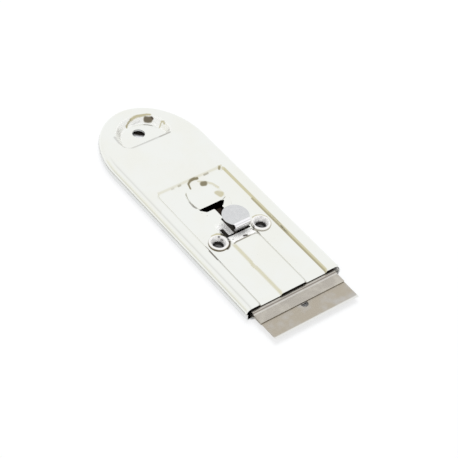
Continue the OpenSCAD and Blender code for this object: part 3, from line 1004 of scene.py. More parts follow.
@dataclass
class TopCover:
    """The bright upper cover with its panel, rib, dimples and lever slot.

    Sizes are in millimetres, and places along the cover are taken from its front edge.
    """

    outline: Outline = field(default_factory=Outline)
    height: float = 5.3
    sheet: float = 0.6
    edge_r: float = 3.0
    seam_z: float = 2.85
    skirt_inset: float = 0.65
    skirt_z: float = 0.65
    joggle_r: float = 0.25
    front_step: float = 0.72
    lip_run: float = 0.75
    lip_drop: float = 0.34
    lip_high: float = 0.55
    panel_w: float = 29.6
    panel_l: float = 64.15
    panel_depth: float = 1.2
    side_run: float = 0.75
    rear_run: float = 0.85
    panel_corner: float = 1.3
    rib_w: float = 12.4
    rib_run: float = 1.05
    rib_l: float = 29.4
    ramp_run: float = 3.3
    rib_corner: float = 1.5
    # Painted reflection lines on the rolled left edge, as height, width and darkness, and painted
    # reflection tints on the walls that face left.
    rim_reflection_lines: tuple[Triple, ...] = ((5.12, 0.1, 0.17), (3.9, 0.2, 0.15))
    wall_painted_reflection: float = 0.75
    rib_painted_reflection: float = 0.55
    dent_y: float = 17.0
    dent: float = 0.42
    # Share of matte on the hang dimple's walls, painted pale as a highlight.
    hang_matte: float = 0.5
    thumb_x: float = 0.8
    thumb_y: float = 56.2
    thumb_r: float = 7.15
    thumb_run: float = 1.5
    thumb_rear_run: float = 1.3
    thumb_squash: float = 0.6
    thumb_depth: float = 1.2
    thumb_front: float = 50.6
    hang_w: float = 22.3
    hang_y: float = 90.5
    hang_l: float = 14.7
    hang_corner: float = 3.0
    hang_run: float = 2.0
    hang_depth: float = 2.8
    lock_y: float = 34.4
    travel: float = 15.2
    front_slot_w: float = 11.2
    front_slot_ahead: float = 1.0
    front_slot_behind: float = 0.5
    slot_w: float = 3.7
    slot_x: float = 1.4
    relief_w: float = 1.25
    relief_l: float = 9.3
    tongue_w: float = 2.0
    tongue_l: float = 3.4
    tongue_over: float = 0.45
    rear_slot_w: float = 11.4
    rear_ahead: float = 1.6
    rear_behind: float = 2.0
    rear_corner: float = 1.9
    wall_round: float = 0.22
    rib_round: float = 0.16
    hang_round: float = 0.2
    thumb_blend: float = 0.3
    dent_reach: float = 1.3
    # Where the painted reflections, the painted seam shade and the matte patches painted pale lie, and how
    # strong they are.
    steep_span: tuple[float, float] = (0.93, 0.63)
    steep_painted_tint: float = 0.06
    left_span: tuple[float, float] = (-0.5, -0.7)
    side_span: tuple[float, float] = (-16.0, -18.0)
    side_end: tuple[float, float] = (92.0, 84.0)
    ramp_half: tuple[float, float] = (5.4, 4.9)
    lever_x: float = -0.4
    lever_half: tuple[float, float] = (5.9, 4.7)
    lever_end: tuple[float, float] = (41.0, 39.5)
    lip_band: float = 0.25
    lip_painted_shade: float = 0.2
    lip_dark: float = 0.14

    def hang_plan(self) -> Array:
        """Draws the D-shaped rim of the hang dimple.

        Returns:
            The points of the rim.
        """
        half, r = self.hang_w / 2, self.hang_corner
        y0 = self.outline.front + self.hang_y
        y1, mid = y0 + self.hang_l, y0 + 1.5 * r
        corners = [(side * (half - r) + r * math.cos(a), y0 + r + r * math.sin(a))
                   for side, start in ((-1, 1.0), (1, 1.5))
                   for a in np.linspace(start * math.pi, (start + 0.5) * math.pi, 9)]
        arc = [(half * math.cos(a), mid + (y1 - mid) * math.sin(a)) for a in np.linspace(0, math.pi, 40)]
        return np.array([*corners, *arc])

    def surface(self, x: Array, y: Array) -> Array:
        """Finds the height of the pressed sheet's outside.

        Args:
            x: Places across.
            y: Places along.

        Returns:
            The height of each place.
        """
        shape = np.shape(x)
        x, y = np.ravel(x), np.ravel(y)
        t = y - self.outline.front
        panel_z = self.height - self.panel_depth
        away, share = box_distance(x, t, self.panel_w / 2, self.panel_l, self.panel_corner)
        wall = soft_ramp(away / (self.side_run + (self.rear_run - self.side_run) * share), self.wall_round)
        shift = self.dent * bell(t, self.dent_y, self.dent_reach) * (x < 0)
        half = self.rib_w / 2 - self.rib_run
        away, share = box_distance(x + shift, t, half, self.rib_l, self.rib_corner)
        run = self.rib_run + (self.ramp_run - self.rib_run) * share
        rib = 1 - soft_ramp(away / run, self.rib_round)
        z = panel_z + self.panel_depth * np.maximum(wall, rib)
        dx, dy = x - self.thumb_x, t - self.thumb_y
        r = np.hypot(dx, np.where(dy < 0, self.thumb_squash * dy, dy))
        run = self.thumb_run + self.thumb_rear_run * np.clip(dy / np.maximum(r, 0.1), 0, 1) ** 2
        depth = self.thumb_depth * np.clip((t - self.thumb_front) / 0.8, 0, 1)
        rise = np.clip((r - self.thumb_r + run) / run, 0, None) ** 2
        cup = soft_min(z, panel_z + depth * (rise - 1), self.thumb_blend)
        z = np.where(r < self.thumb_r + 1, cup, z)
        near = t > self.hang_y - 3
        plan = np.column_stack([x, y])[near]
        if len(plan):
            line = self.hang_plan()
            deep = line_distance(plan, line) * np.where(inside(plan, line), 1.0, -1.0)
            z[near] -= soft_ramp(deep / self.hang_run, self.hang_round) * self.hang_depth
        return z.reshape(shape)

    def lip(self, y: Array, z: Array) -> tuple[Array, Array]:
        """Turns the front edge down.

        Args:
            y: Places along.
            z: Their heights before.

        Returns:
            How far each place goes down, and how steep it gets.
        """
        u = np.clip(self.outline.front + self.front_step + self.lip_run - y, 0, None) / self.lip_run
        high = np.clip((z - self.height) / self.panel_depth + 1, 0, 1)
        drop = self.lip_drop + self.lip_high * high
        return drop * u ** 2, -2 * drop * u / self.lip_run

    def slot(self) -> Array:
        """Draws the lever's opening: front cross slot, relief, narrow slot and rear slot.

        Returns:
            The points of its rim.
        """
        y = self.outline.front + self.lock_y
        y0, y1 = y - self.front_slot_ahead, y + self.front_slot_behind
        y2, y3 = y + self.travel - self.rear_ahead, y + self.travel + self.rear_behind
        narrow, right = self.slot_x - self.slot_w / 2, self.slot_x + self.slot_w / 2
        left = narrow - self.relief_w
        front, rear, cut = self.front_slot_w / 2, self.rear_slot_w / 2, self.rear_corner
        window, tip = left - self.tongue_w, y1 - self.tongue_over
        points = [(-front, y0, 0.25), (front, y0, 0.25), (front, y1, 0.4), (right, y1, 0.5),
                  (right, y2, 0.5), (rear - cut, y2, 0.6), (rear, y2 + cut, 0.6), (rear, y3, 0.3),
                  (-rear, y3, 0.3), (-rear, y2 + cut, 0.6), (-rear + cut, y2, 0.6), (narrow, y2, 0.5),
                  (narrow, y0 + self.relief_l, 0.4), (left, y0 + self.relief_l, 0.3), (left, tip, 0.2),
                  (window, tip, 0.2), (window, y1 + self.tongue_l, 0.4), (-front, y1 + self.tongue_l, 0.3)]
        return split_long(round_corners(points), 0.5)

    def profile(self) -> list[Triple]:
        """Draws the section of the bent edge, from the top down.

        Returns:
            Inset, height and angle of the face at each step.
        """
        bend, r = self.edge_r, self.joggle_r
        arc = [(bend * (1 - math.cos(a)), self.height - bend * (1 - math.sin(a)), a)
               for a in np.radians(np.linspace(90, 12, 16))]
        turn = [(arc[-1][0] + r * (1 - math.cos(a)), self.seam_z + r - r * math.sin(a), -a)
                for a in np.radians([20, 50, 80])]
        down = [(self.skirt_inset, self.seam_z - 0.3, 0.0), (self.skirt_inset, self.skirt_z, 0.0)]
        return [p for p in arc if p[1] > self.seam_z + r] + turn + down

    def fine(self, x: Array, y: Array) -> Array:
        """Finds the flats that need close points, so that the marks on them stay sharp.

        Args:
            x: Places across.
            y: Places along.

        Returns:
            A flag for each place.
        """
        t = y - self.outline.front
        near = t < self.front_step + self.lip_run + 0.2
        for streak in PAINTED_STREAKS:
            near |= replace(streak, width=streak.width + 0.3).share(x, t) > 0
        return near

    def tint(self, points: Array, normal: Array, ring: Array) -> Marks:
        """Works out the painted reflections and shade, and the matte patches that are painted pale as
        highlights.

        Args:
            points: The sheet's points.
            normal: Their directions.
            ring: Flags the points of the bent edge.

        Returns:
            The marks by name.
        """
        x, t, z = points[:, 0], points[:, 1] - self.outline.front, points[:, 2]
        # Painted reflection tint on steep walls, and painted shade at the seam below the rolled edge.
        steep = fade(normal[:, 2], *self.steep_span)
        lip = ring & (z < self.seam_z + self.lip_band)
        fold = np.where(lip, self.lip_painted_shade, steep * self.steep_painted_tint)
        # Painted reflection lines along the rolled left edge.
        lines = sum(level * bell(z, high, wide) for high, wide, level in self.rim_reflection_lines)
        left_side = fade(x, *self.side_span) * fade(t, *self.side_end)
        dark = np.where(lip, self.lip_dark, lines * left_side * ring)
        # Painted khaki reflections on the walls that face left.
        leftward = fade(normal[:, 0], *self.left_span) * ~ring
        fold = np.maximum(fold, leftward * ((x > 12) & (t < self.panel_l + 1)) * self.wall_painted_reflection)
        fold = np.maximum(fold, leftward * ((x < -3) & (t < self.rib_l + 1)) * self.rib_painted_reflection)
        # Painted reflections and shade along the plan lines.
        for streak in PAINTED_STREAKS:
            share = streak.share(x, t) * ~ring
            fold, dark = np.maximum(fold, share * streak.fold), np.maximum(dark, share * streak.dark)
        # Matte patches painted pale as highlights: the ramp, round the lever and the hang dimple's walls;
        # less where dark paint lies.
        ramp = fade(t, self.rib_l - 0.1, self.rib_l + 0.3) * fade(np.abs(x), *self.ramp_half)
        round_lever = fade(np.abs(x - self.lever_x), *self.lever_half) * fade(t, *self.lever_end)
        hang = fade(steep, 0, 1 / 8) * (t > self.hang_y - 0.5) * self.hang_matte
        matte = np.where(t < self.lock_y - self.front_slot_ahead, ramp, np.maximum(round_lever, hang))
        marked = fade(np.maximum(dark, fold - self.steep_painted_tint), 0, 1 / 1.3)
        return {"fold": fold, "inner": dark, "matte": matte * ~ring * (1 - marked)}

    def build(self) -> None:
        """Makes the cover and ties it to the frame."""
        openings = [self.slot(), *self.outline.holes()]
        start = self.outline.front + self.front_step
        press = Stamping(self.outline, self.surface, self.profile(), openings, start, self.sheet,
                         tint=self.tint, fine=self.fine, lip=self.lip)
        add_piece("top_cover_shell", press.sheet().mesh("top_cover_shell"), Finish.COVER, Body.COVER,
                  "top_cover", slot="cover_nickel")


@dataclass
class BottomCover:
    """The lower cover: a shallow tray with a boss round the hang hole and seats for the eyelets.

    Sizes are in millimetres.
    """

    outline: Outline = field(default_factory=Outline)
    sheet: float = 0.6
    base_r: float = 0.9
    wall_h: float = 2.55
    boss_r: float = 6.4
    boss_run: float = 1.0
    boss_h: float = 1.3
    seat_r: float = 3.6
    seat_run: float = 0.35
    seat_h: float = 0.6
    front_gap: float = 0.12

    def surface(self, x: Array, y: Array) -> Array:
        """Finds the height of the tray's underside.

        Args:
            x: Places across.
            y: Places along.

        Returns:
            The height of each place.
        """
        plan = self.outline
        t = y - plan.front
        away = np.hypot(x, t - plan.hole_y) - self.boss_r + self.boss_run
        boss = 1 - soft_ramp(away / self.boss_run, 0.25)
        seat = np.hypot(np.abs(x) - plan.eyelet_x, t - plan.eyelet_y) - self.seat_r
        return self.boss_h * boss + self.seat_h * (1 - soft_ramp(seat / self.seat_run, 0.3))

    def profile(self) -> list[Triple]:
        """Draws the section of the bent edge, from the underside up.

        Returns:
            Inset, height and angle of the face at each step.
        """
        r = self.base_r
        turns = np.radians(np.linspace(90, 0, 10))
        arc = [(r * (1 - math.cos(a)), r * (1 - math.sin(a)), -a) for a in turns]
        return [(2.0, 0.0, -math.pi / 2), *arc, (0.0, 1.7, 0.0), (0.0, self.wall_h, 0.0)]

    def tint(self, points: Array, normal: Array, ring: Array) -> Marks:
        """Returns the painted shade along the top of the wall, at the seam under the top cover."""
        return {"fold": fade(points[:, 2], self.wall_h - 0.25, self.wall_h) * 0.5}

    def build(self) -> None:
        """Makes the tray and ties it to the frame."""
        start = self.outline.front + self.front_gap
        press = Stamping(self.outline, self.surface, self.profile(), self.outline.holes(), start,
                         self.sheet, facing=-1.0, spacing=0.4, tint=self.tint)
        add_piece("bottom_cover_tray", press.sheet().mesh("bottom_cover_tray"), Finish.BASE, Body.COVER,
                  "bottom_cover", slot="base_nickel")


@dataclass
class TurnedPair:
    """Two equal turned parts side by side, spread from one turned mesh by geometry nodes."""

    name: str
    line: list[tuple[float, float]]
    centre: tuple[float, float]
    spacing: float
    finish: Finish
    body: Body
    nodes: tuple[str, ...]
    slot: str
    shade: Optional[Callable[[Array, Array, Array], Marks]] = None
    # How much of the painted shade and reflection the right one keeps above a height.
    right_share: float = 1.0
    right_above: float = 0.0
    steps: int = 96

    def turned(self) -> bpy.types.Mesh:
        """Turns the closed line round the upright axis.

        Returns:
            One part's mesh, at the origin, in metres.
        """
        line = np.array(self.line)
        size = len(line)
        mids = np.roll(line, -1, 0) - np.roll(line, 1, 0)
        normal = unit(np.column_stack([mids[:, 1], -mids[:, 0]]))
        points, normals, faces = [], [], []
        for k in range(self.steps):
            a = 2 * math.pi * k / self.steps
            for (r, z), (nr, nz) in zip(line, normal):
                points.append((r * math.cos(a) * MM, r * math.sin(a) * MM, z * MM))
                normals.append((nr * math.cos(a), nr * math.sin(a), nz))
            for i in range(size):
                j, other = (i + 1) % size, (k + 1) % self.steps
                faces.append((k * size + i, other * size + i, other * size + j, k * size + j))
        marks = self.shade(*(np.array(points) / MM).T) if self.shade is not None else {}
        return shaded_mesh(self.name, points, faces, normals, marks)

    def tree(self) -> bpy.types.NodeTree:
        """Builds the node tree that sets the part down twice.

        Returns:
            The tree, with the spacing, place and material as named inputs.
        """
        tree = bpy.data.node_groups.new(self.name + "_pair", "GeometryNodeTree")
        for name in ("Geometry", "Spacing", "Place", "Material"):
            kind = {"Spacing": "Float", "Place": "Vector"}.get(name, name)
            tree.interface.new_socket(name, in_out="INPUT", socket_type="NodeSocket" + kind)
        tree.interface.new_socket("Geometry", in_out="OUTPUT", socket_type="NodeSocketGeometry")
        maker = NodeMaker(tree)
        given = maker.add("NodeGroupInput").outputs
        half = maker.sum("MULTIPLY", Sock(maker, given["Spacing"]), -0.5)
        first = maker.get("ShaderNodeCombineXYZ", X=half)
        shift = maker.add("ShaderNodeVectorMath", {"operation": "ADD"}, i0=given["Place"], i1=first)
        step = maker.get("ShaderNodeCombineXYZ", X=given["Spacing"])
        row = maker.add("GeometryNodeMeshLine", {"mode": "OFFSET"}, Count=2,
                        Start_Location=shift.outputs[0], Offset=step)
        spread = maker.get("GeometryNodeInstanceOnPoints", Points=row.outputs[0],
                           Instance=given["Geometry"])
        solid = maker.get("GeometryNodeRealizeInstances", Geometry=spread)
        dressed = maker.get("GeometryNodeSetMaterial", Geometry=solid, Material=given["Material"])
        maker.add("NodeGroupOutput", Geometry=dressed)
        return tree

    def lighten(self, mesh: bpy.types.Mesh) -> None:
        """Lightens the painted shade and reflections on the upper part of the right one.

        Args:
            mesh: The mesh of the pair.
        """
        place = np.array([tuple(v.co) for v in mesh.vertices])
        picked = (place[:, 0] > 0) & (place[:, 2] >= self.right_above * MM)
        for key in ("fold", "inner"):
            data = mesh.attributes[key].data
            values = np.empty(len(place), np.float32)
            data.foreach_get("value", values)
            data.foreach_set("value", np.where(picked, values * self.right_share, values))

    def build(self) -> None:
        """Makes the pair as one plain mesh and ties it to the frame."""
        tree = self.tree()
        source = put(self.name + "_source", self.turned())
        modifier = source.modifiers.new("pair", "NODES")
        modifier.node_group = tree
        keys = {s.name: s.identifier for s in tree.interface.items_tree if s.in_out == "INPUT"}
        modifier[keys["Spacing"]] = self.spacing * MM
        modifier[keys["Place"]] = (self.centre[0] * MM, self.centre[1] * MM, 0.0)
        modifier[keys["Material"]] = Paint.of(self.finish)
        graph = bpy.context.evaluated_depsgraph_get()
        mesh = bpy.data.meshes.new_from_object(source.evaluated_get(graph), preserve_all_data_layers=True,
                                               depsgraph=graph)
        mesh.name = self.name
        source.modifiers.clear()
        bpy.data.objects.remove(source)
        if self.right_share < 1:
            self.lighten(mesh)
        add_piece(self.name, mesh, self.finish, self.body, *self.nodes, slot=self.slot)


def eyelets(top: TopCover) -> TurnedPair:
    """Describes the two eyelets that hold the covers together.

    Args:
        top: The cover whose sizes they follow.

    Returns:
        The pair.
    """
    bore, wall, outer_r, crest_r, crest_h, flange_r, fit = 2.0, 0.5, 3.9, 3.2, 0.9, 3.5, 0.05
    panel = top.height - top.panel_depth
    throat = panel - 1.25
    line: list[tuple[float, float]] = [(outer_r - 0.3, panel), (outer_r - 0.02, panel + 0.08)]
    for a in np.radians(np.linspace(10, 90, 9)):
        line.append((crest_r + (outer_r - crest_r) * math.cos(a), panel + crest_h * math.sin(a)))
    for s in np.linspace(0.08, 1, 12):
        drop = (panel + crest_h - throat) * s ** 1.7
        line.append((crest_r + (bore - crest_r) * s, panel + crest_h - drop))
    line += [(bore, z) for z in np.linspace(throat - 0.1, 0.3, 10)]
    line += [(bore + 0.25, fit), (flange_r - 0.2, fit), (flange_r, fit + 0.25), (flange_r - 0.1, 0.6),
             (bore + wall, 0.6), (bore + wall, panel)]

    def shade(x: Array, y: Array, z: Array) -> Marks:
        """Works out the painted shade in the bore and on the outside near the panel, two painted dark
        reflections in the funnel, and the funnel's matte, painted pale.

        Args:
            x: Places across.
            y: Places along.
            z: Heights.

        Returns:
            The marks by name.
        """
        r, angle = np.hypot(x, y), np.degrees(np.arctan2(y, x))
        # Painted shade down the bore.
        deep = fade(z, throat + 0.05, throat - 0.05) * (0.5 + 0.48 * fade(z, 0.7, 1.6))
        dark = np.where(r < bore + 0.15, deep, 0.0)
        # Painted shade and brown reflection on the outside near the panel.
        outside = (r > crest_r) * fade(z, panel + 0.62, panel + 0.32)
        funnel = (r < crest_r - 0.1) & (z > throat)
        # Two painted dark reflections in the funnel, which is made matte and painted pale elsewhere.
        for middle, away, wide, tall, level in ((52, 2.8, 11, 0.42, 1.0), (22, 2.4, 24, 0.26, 0.95)):
            dark_reflection_spot = bell(angle, middle, wide) * bell(r, away, tall)
            dark = np.maximum(dark, funnel * dark_reflection_spot * level)
        return {"fold": outside * 1.0, "inner": np.maximum(dark, outside * 0.5),
                "matte": funnel * 0.75 * (1 - np.minimum(dark, 1))}

    place = (0.0, top.outline.front + top.outline.eyelet_y)
    return TurnedPair("eyelets", line, place, 2 * top.outline.eyelet_x, Finish.EYELET, Body.COVER,
                      ("eyelet_left", "eyelet_right"), "eyelet_nickel", shade, 0.4, throat + 0.05)


def lever_rivets(carrier_z: float, head_z: float, place_y: float) -> TurnedPair:
    """Describes the two rivets that hold the lever's foot to the carrier.

    Args:
        carrier_z: Underside of the carrier's tail.
        head_z: Underside of the heads.
        place_y: Where they stand along the tool.

    Returns:
        The pair.
    """
    shank, head_r, head_h, brim, apart = 1.0, 1.7, 0.6, 0.12, 4.8
    line = [(0.001, carrier_z), (shank, carrier_z), (shank, head_z), (head_r - 0.15, head_z),
            (head_r, head_z + brim)]
    line += [(head_r * math.cos(a), head_z + brim + (head_h - brim) * math.sin(a))
             for a in np.radians(np.linspace(20, 80, 6))]
    line.append((0.001, head_z + head_h))
    return TurnedPair("lever_rivet_heads", line, (0.0, place_y), apart, Finish.RIVET, Body.CARRIER,
                      ("lever_rivets",), "rivet_steel")


def folded_strip(line: Array, half: Union[float, Array], thickness: float, columns: int = 24,
                 shift: float = 0.0) -> Sheet:
    """Sweeps a side view across the tool.

    Args:
        line: Side view of the outer face, as places along and heights, with the face to its left.
        half: Half width at each point of the line.
        thickness: Thickness of the strip.
        columns: Pieces across.
        shift: How far the strip's middle lies to the right.

    Returns:
        The strip.
    """
    size, wide = len(line), columns + 1
    step = unit(np.gradient(line, axis=0))
    half = np.broadcast_to(np.asarray(half, float), (size,))
    x = shift + np.outer(half, np.linspace(-1, 1, wide)).ravel()
    points = np.column_stack([x, np.repeat(line, wide, 0)])
    way = np.repeat(np.column_stack([-step[:, 1], step[:, 0]]), wide, 0)
    normals = np.column_stack([np.zeros(len(way)), way])
    faces = [(k, k + 1, k + wide + 1, k + wide)
             for i in range(size - 1) for k in range(i * wide, i * wide + columns)]
    return Sheet(points, normals, faces, thickness)


@dataclass
class BladeCarrier:
    """The carrier with its folded jaw, and the blade that the jaw holds.

    Sizes and places are in millimetres.
    """

    front: float = -55.75
    blade_w: float = 38.1
    blade_d: float = 19.05
    blade_t: float = 0.25
    blade_z: float = 1.85
    bevel_l: float = 0.9
    edge_round: float = 0.03
    reach: float = 13.5
    spine_d: float = 5.5
    notch_w: float = 3.1
    notch_edge: float = 6.2
    jaw_w: float = 38.3
    jaw_reach: float = 5.1
    sheet: float = 0.5
    carrier_z: float = 0.85
    jaw_top: float = 3.1
    step_run: float = 1.0
    fit: float = 0.1
    tail_w: float = 10.4
    tail_rear: float = -11.35
    side_round: float = 0.12
    mark_step: float = 0.15

    @property
    def edge(self) -> float:
        """Place of the blade's cutting edge."""
        return self.front - self.reach

    @property
    def back(self) -> float:
        """Place of the blade's rear edge."""
        return self.edge + self.blade_d

    @property
    def over(self) -> float:
        """Height of the upper flap's outer face."""
        return self.blade_z + self.blade_t + self.fit / 2 + self.sheet

    def jaw_line(self) -> Array:
        """Draws the side view of the jaw's outer face, from the lower flap round to the upper flap.

        Returns:
            Places along and heights.
        """
        start = self.front - self.jaw_reach
        rear = self.back + 2 * self.fit + self.sheet
        step = self.back - self.spine_d - self.fit
        low = step - self.step_run
        under = self.blade_z - self.fit / 2 - self.sheet
        upper = [(start, self.over, 0), (low, self.over, 0.5), (step, self.jaw_top, 0.6),
                 (rear, self.jaw_top, 0.75)]
        lower = [(rear, self.carrier_z, 0.75), (step, self.carrier_z, 0.6), (low, under, 0.5),
                 (start, under, 0)]
        line = bent_line(upper + lower)[::-1]
        dense = [line[0]]
        for a, b in zip(line, line[1:]):
            near = min(a[0], b[0]) < step + 1 and max(a[0], b[0]) > low - 1.5
            marked = near and min(a[1], b[1]) > self.blade_z
            count = max(1, int(math.ceil(float(np.hypot(*(b - a))) / self.mark_step))) if marked else 1
            dense += [a + (b - a) * k / count for k in range(1, count + 1)]
        return np.array(dense)

    def jaw(self) -> bpy.types.Mesh:
        """Makes the folded jaw with its tail.

        Returns:
            Both as one mesh.
        """
        strip = folded_strip(self.jaw_line(), self.jaw_w / 2 - self.side_round, self.sheet, 40)
        strip.normal = -strip.normal
        strip.faces = [tuple(reversed(f)) for f in strip.faces]
        z, y = strip.outer[:, 2], strip.outer[:, 1]
        head = (z > self.over - 0.3) & (y < self.back - 2)
        away = y - self.back + self.spine_d + self.fit
        # Painted shade: a dark line in front of the step and in the gap under the cover. Painted highlight:
        # bright bands on the step.
        step_shade_line = head * bell(away, -0.32, 0.16)
        deep = head * fade(away, 0.3, 0.8)
        glow = head * (0.7 * bell(away, -0.85, 0.25) + (away > 0.05) * 0.6) * (1 - deep)
        strip.marks = {"fold": np.maximum(step_shade_line, deep) * 0.9, "ground": glow * 0.8}
        height = self.carrier_z + self.sheet
        tail_line = [(self.back + 2 * self.fit - 0.3, height), (self.tail_rear - self.side_round, height)]
        tail = folded_strip(np.array(tail_line), self.tail_w / 2 - self.side_round, self.sheet, 12)
        # The tail is painted dark all over, as shade inside the covers.
        tail.marks = {"inner": np.ones(len(tail.outer))}
        return join_meshes("blade_carrier_jaw", [strip.mesh("jaw"), tail.mesh("tail")])

    def blade_sheet(self) -> Sheet:
        """Makes the blade: a thin plate with a sharpened, bevelled edge and a notch with a round end.

        Returns:
            The blade's sheet.
        """
        half, radius = self.blade_w / 2, self.notch_w / 2
        edge, back = self.edge + self.edge_round, self.back
        rim = split_long(np.array([(-half, edge), (half, edge), (half, back), (-half, back)]), 0.8)
        y0, y1 = self.edge + self.notch_edge + radius, back - self.spine_d / 2
        notch = [(radius * math.cos(a), y0 + radius * math.sin(a))
                 for a in np.linspace(math.pi, 2 * math.pi, 15)]
        notch += [(radius, y1), (-radius, y1)]
        rows = [edge + self.bevel_l * k / 4 for k in range(1, 6)] + list(np.arange(edge + 2, back, 1.0))
        spread = np.array([(x, y) for y in rows for x in np.arange(-half + 0.4, half, 0.9)])
        plan, faces = fill_plan([rim, split_long(np.array(notch), 0.5)], spread, 0.2)
        x, y = plan.T
        grind = np.clip((y - edge) / self.bevel_l, 0.06, 1)
        points = np.column_stack([x, y, self.blade_z + self.blade_t / 2 + grind * self.blade_t / 2])
        slope = np.where(y < edge + self.bevel_l * 0.99, self.blade_t / 2 / self.bevel_l, 0.0)
        normal = unit(np.column_stack([np.zeros(len(x)), -slope, np.ones(len(x))]))
        ground = fade(y, edge + self.bevel_l * 1.15, edge + self.bevel_l * 0.85)
        return Sheet(points, normal, faces, grind * self.blade_t, {"ground": ground},
                     edge_round=self.edge_round, edge_steps=2)

    def build(self) -> None:
        """Makes the jaw and the blade and ties them to the frame."""
        add_piece("blade_carrier_jaw", self.jaw(), Finish.JAW, Body.CARRIER, "blade_carrier",
                  slot="carrier_steel")
        add_piece("blade_ground", self.blade_sheet().mesh("blade_ground"), Finish.BLADE, Body.CARRIER,
                  "blade", slot="blade_steel")


@dataclass
class ThumbLever:
    """The sprung strip that locks the carrier: foot, leaf, waist, neck and thumb disc.

    Sizes and places are in millimetres.
    """

    sheet: float = 0.5
    rivet_y: float = -43.5
    rivet_x: float = 2.4
    hole_r: float = 1.15
    foot_l: float = 2.2
    foot_z: float = 1.5
    leaf_w: float = 8.4
    waist_y: float = -21.35
    shoulder_w: float = 10.4
    shoulder_d: float = 1.2
    shoulder_z: float = 2.8
    waist_w: float = 3.0
    flare_z: float = 5.3
    flare_h: float = 0.3
    neck_w: float = 7.1
    lean: float = 1.2
    bend_r: float = 0.8
    disc_r: float = 5.2
    disc_cut: float = 1.4
    disc_z: float = 8.2
    shift: float = 1.4
    side_round: float = 0.1
    foot_play: float = 0.15
    least_half: float = 0.35

    @property
    def foot_end(self) -> float:
        """Place where the foot ends and the leaf starts to rise."""
        return self.rivet_y + self.foot_l

    def leaf(self) -> Sheet:
        """Makes the leaf with its foot holes and shoulders, in plan.

        Returns:
            The leaf's sheet.
        """
        y0, y1, edge = self.rivet_y - self.foot_l, self.waist_y + self.sheet / 2, self.side_round
        w, s, neck = self.leaf_w / 2 - edge, self.shoulder_w / 2 - edge, y1 - self.shoulder_d
        corners = [(-w, y0 + edge, 0.6), (w, y0 + edge, 0.6), (w, neck, 0.1), (s, neck, 0.15),
                   (s, y1 - edge, 0.15), (-s, y1 - edge, 0.15), (-s, neck, 0.15), (-w, neck, 0.1)]
        holes = [circle(side * self.rivet_x, self.rivet_y, self.hole_r, 32) for side in (-1, 1)]
        rise = self.shoulder_z - self.foot_z

        def top(x: Array, y: Array) -> Array:
            """Height of the leaf's upper face."""
            share = soft_ramp((y - self.foot_end) / (neck - self.foot_end), 0.05)
            return self.foot_z + self.sheet + rise * share

        spread = grid_points(-w, w, y0, y1, 0.3, top, 4)
        plan, faces = fill_plan([split_long(round_corners(corners), 0.6), *holes], spread, 0.15)
        x, y = plan.T
        slope = (top(x, y + 0.01) - top(x, y - 0.01)) / 0.02
        normal = unit(np.column_stack([np.zeros(len(x)), -slope, np.ones(len(x))]))
        # The leaf is painted dark all over, as shade inside the covers.
        return Sheet(np.column_stack([x, y, top(x, y)]), normal, faces, self.sheet,
                     {"inner": np.ones(len(x))}, edge_round=edge)

    def grip(self) -> Sheet:
        """Makes the waist, the widening neck, the bend and the thumb disc.

        Returns:
            The grip's sheet.
        """
        front = self.waist_y - self.sheet / 2
        lean_y = front - self.lean
        outer, top = self.bend_r + self.sheet, self.disc_z + self.sheet
        neck_z, bend_y = self.flare_z + self.flare_h, lean_y + outer
        rise = np.concatenate([np.linspace(self.shoulder_z + 0.1, neck_z, 16),
                               np.linspace(neck_z, self.disc_z - self.bend_r, 9)[1:]])
        lean = np.clip((rise - rise[0]) / (rise[-1] - rise[0]), 0, 1)
        line = [(front + (lean_y - front) * share, z) for share, z in zip(lean, rise)]
        line += [(bend_y + outer * math.cos(a), top - outer + outer * math.sin(a))
                 for a in np.linspace(math.pi, math.pi / 2, 12)[1:]]
        disc_y = bend_y + self.disc_r - self.disc_cut
        start, end = bend_y + 0.05, disc_y + self.disc_r - 0.12
        line += [(start + (end - start) * math.sin(t * math.pi / 2), top) for t in np.linspace(0, 1, 40)]
        waist, neck = self.waist_w / 2, self.neck_w / 2
        half = np.full(len(line), neck)
        for i, (y, z) in enumerate(line):
            if z < self.flare_z:
                half[i] = waist
            elif z < neck_z:
                half[i] = waist + (neck - waist) * math.sin((z - self.flare_z) / self.flare_h * math.pi / 2)
            elif z > top - 1e-6:
                chord = math.sqrt(max(self.disc_r ** 2 - (y - disc_y) ** 2, 0.0))
                half[i] = max(chord if y > bend_y + 0.4 else min(chord, neck), self.least_half)
        half = np.maximum(half - self.side_round, 0.3)
        sheet = folded_strip(np.array(line), half, self.sheet, 24, self.shift)
        y, z = sheet.outer[:, 1], sheet.outer[:, 2]
        turn = np.degrees(np.arctan2(z - top + outer, bend_y - y))
        bend = (z > top - outer) & (y < bend_y)
        # Painted reflection stripes on the bend, painted shade down the neck and on the waist, and a
        # painted highlight that whitens the neck and bend.
        reflection_stripe = bend * (0.4 * bell(turn, 56, 5) + 0.6 * bell(turn, 14, 7))
        shade = fade(z, top - outer, self.flare_z) ** 0.7 * 0.92
        painted_bend_highlight = fade(y, bend_y + 0.3, bend_y)
        sheet.marks = {"fold": painted_bend_highlight, "inner": np.maximum(reflection_stripe, np.where(z < self.flare_z, 1.0, shade))}
        # The underside is painted light, so that it shows no dark reflection.
        sheet.under = {"fold": 1.0, "inner": 0.0}
        sheet.edge_round = self.side_round
        return sheet

    def build(self) -> None:
        """Makes the lever and ties it to the frame."""
        mesh = join_meshes("thumb_lever_strip", [self.leaf().mesh("leaf"), self.grip().mesh("grip")])
        add_piece("thumb_lever_strip", mesh, Finish.LEVER, Body.LEVER, "thumb_lever", slot="lever_steel")


@dataclass(frozen=True)
class Card:
    """A studio card that the metal mirrors, seen from the tool's middle."""

    name: str
    azimuth: float
    elevation: float
    width: float
    height: float
    low: Colour
    high: Colour
    distance: float = 0.9


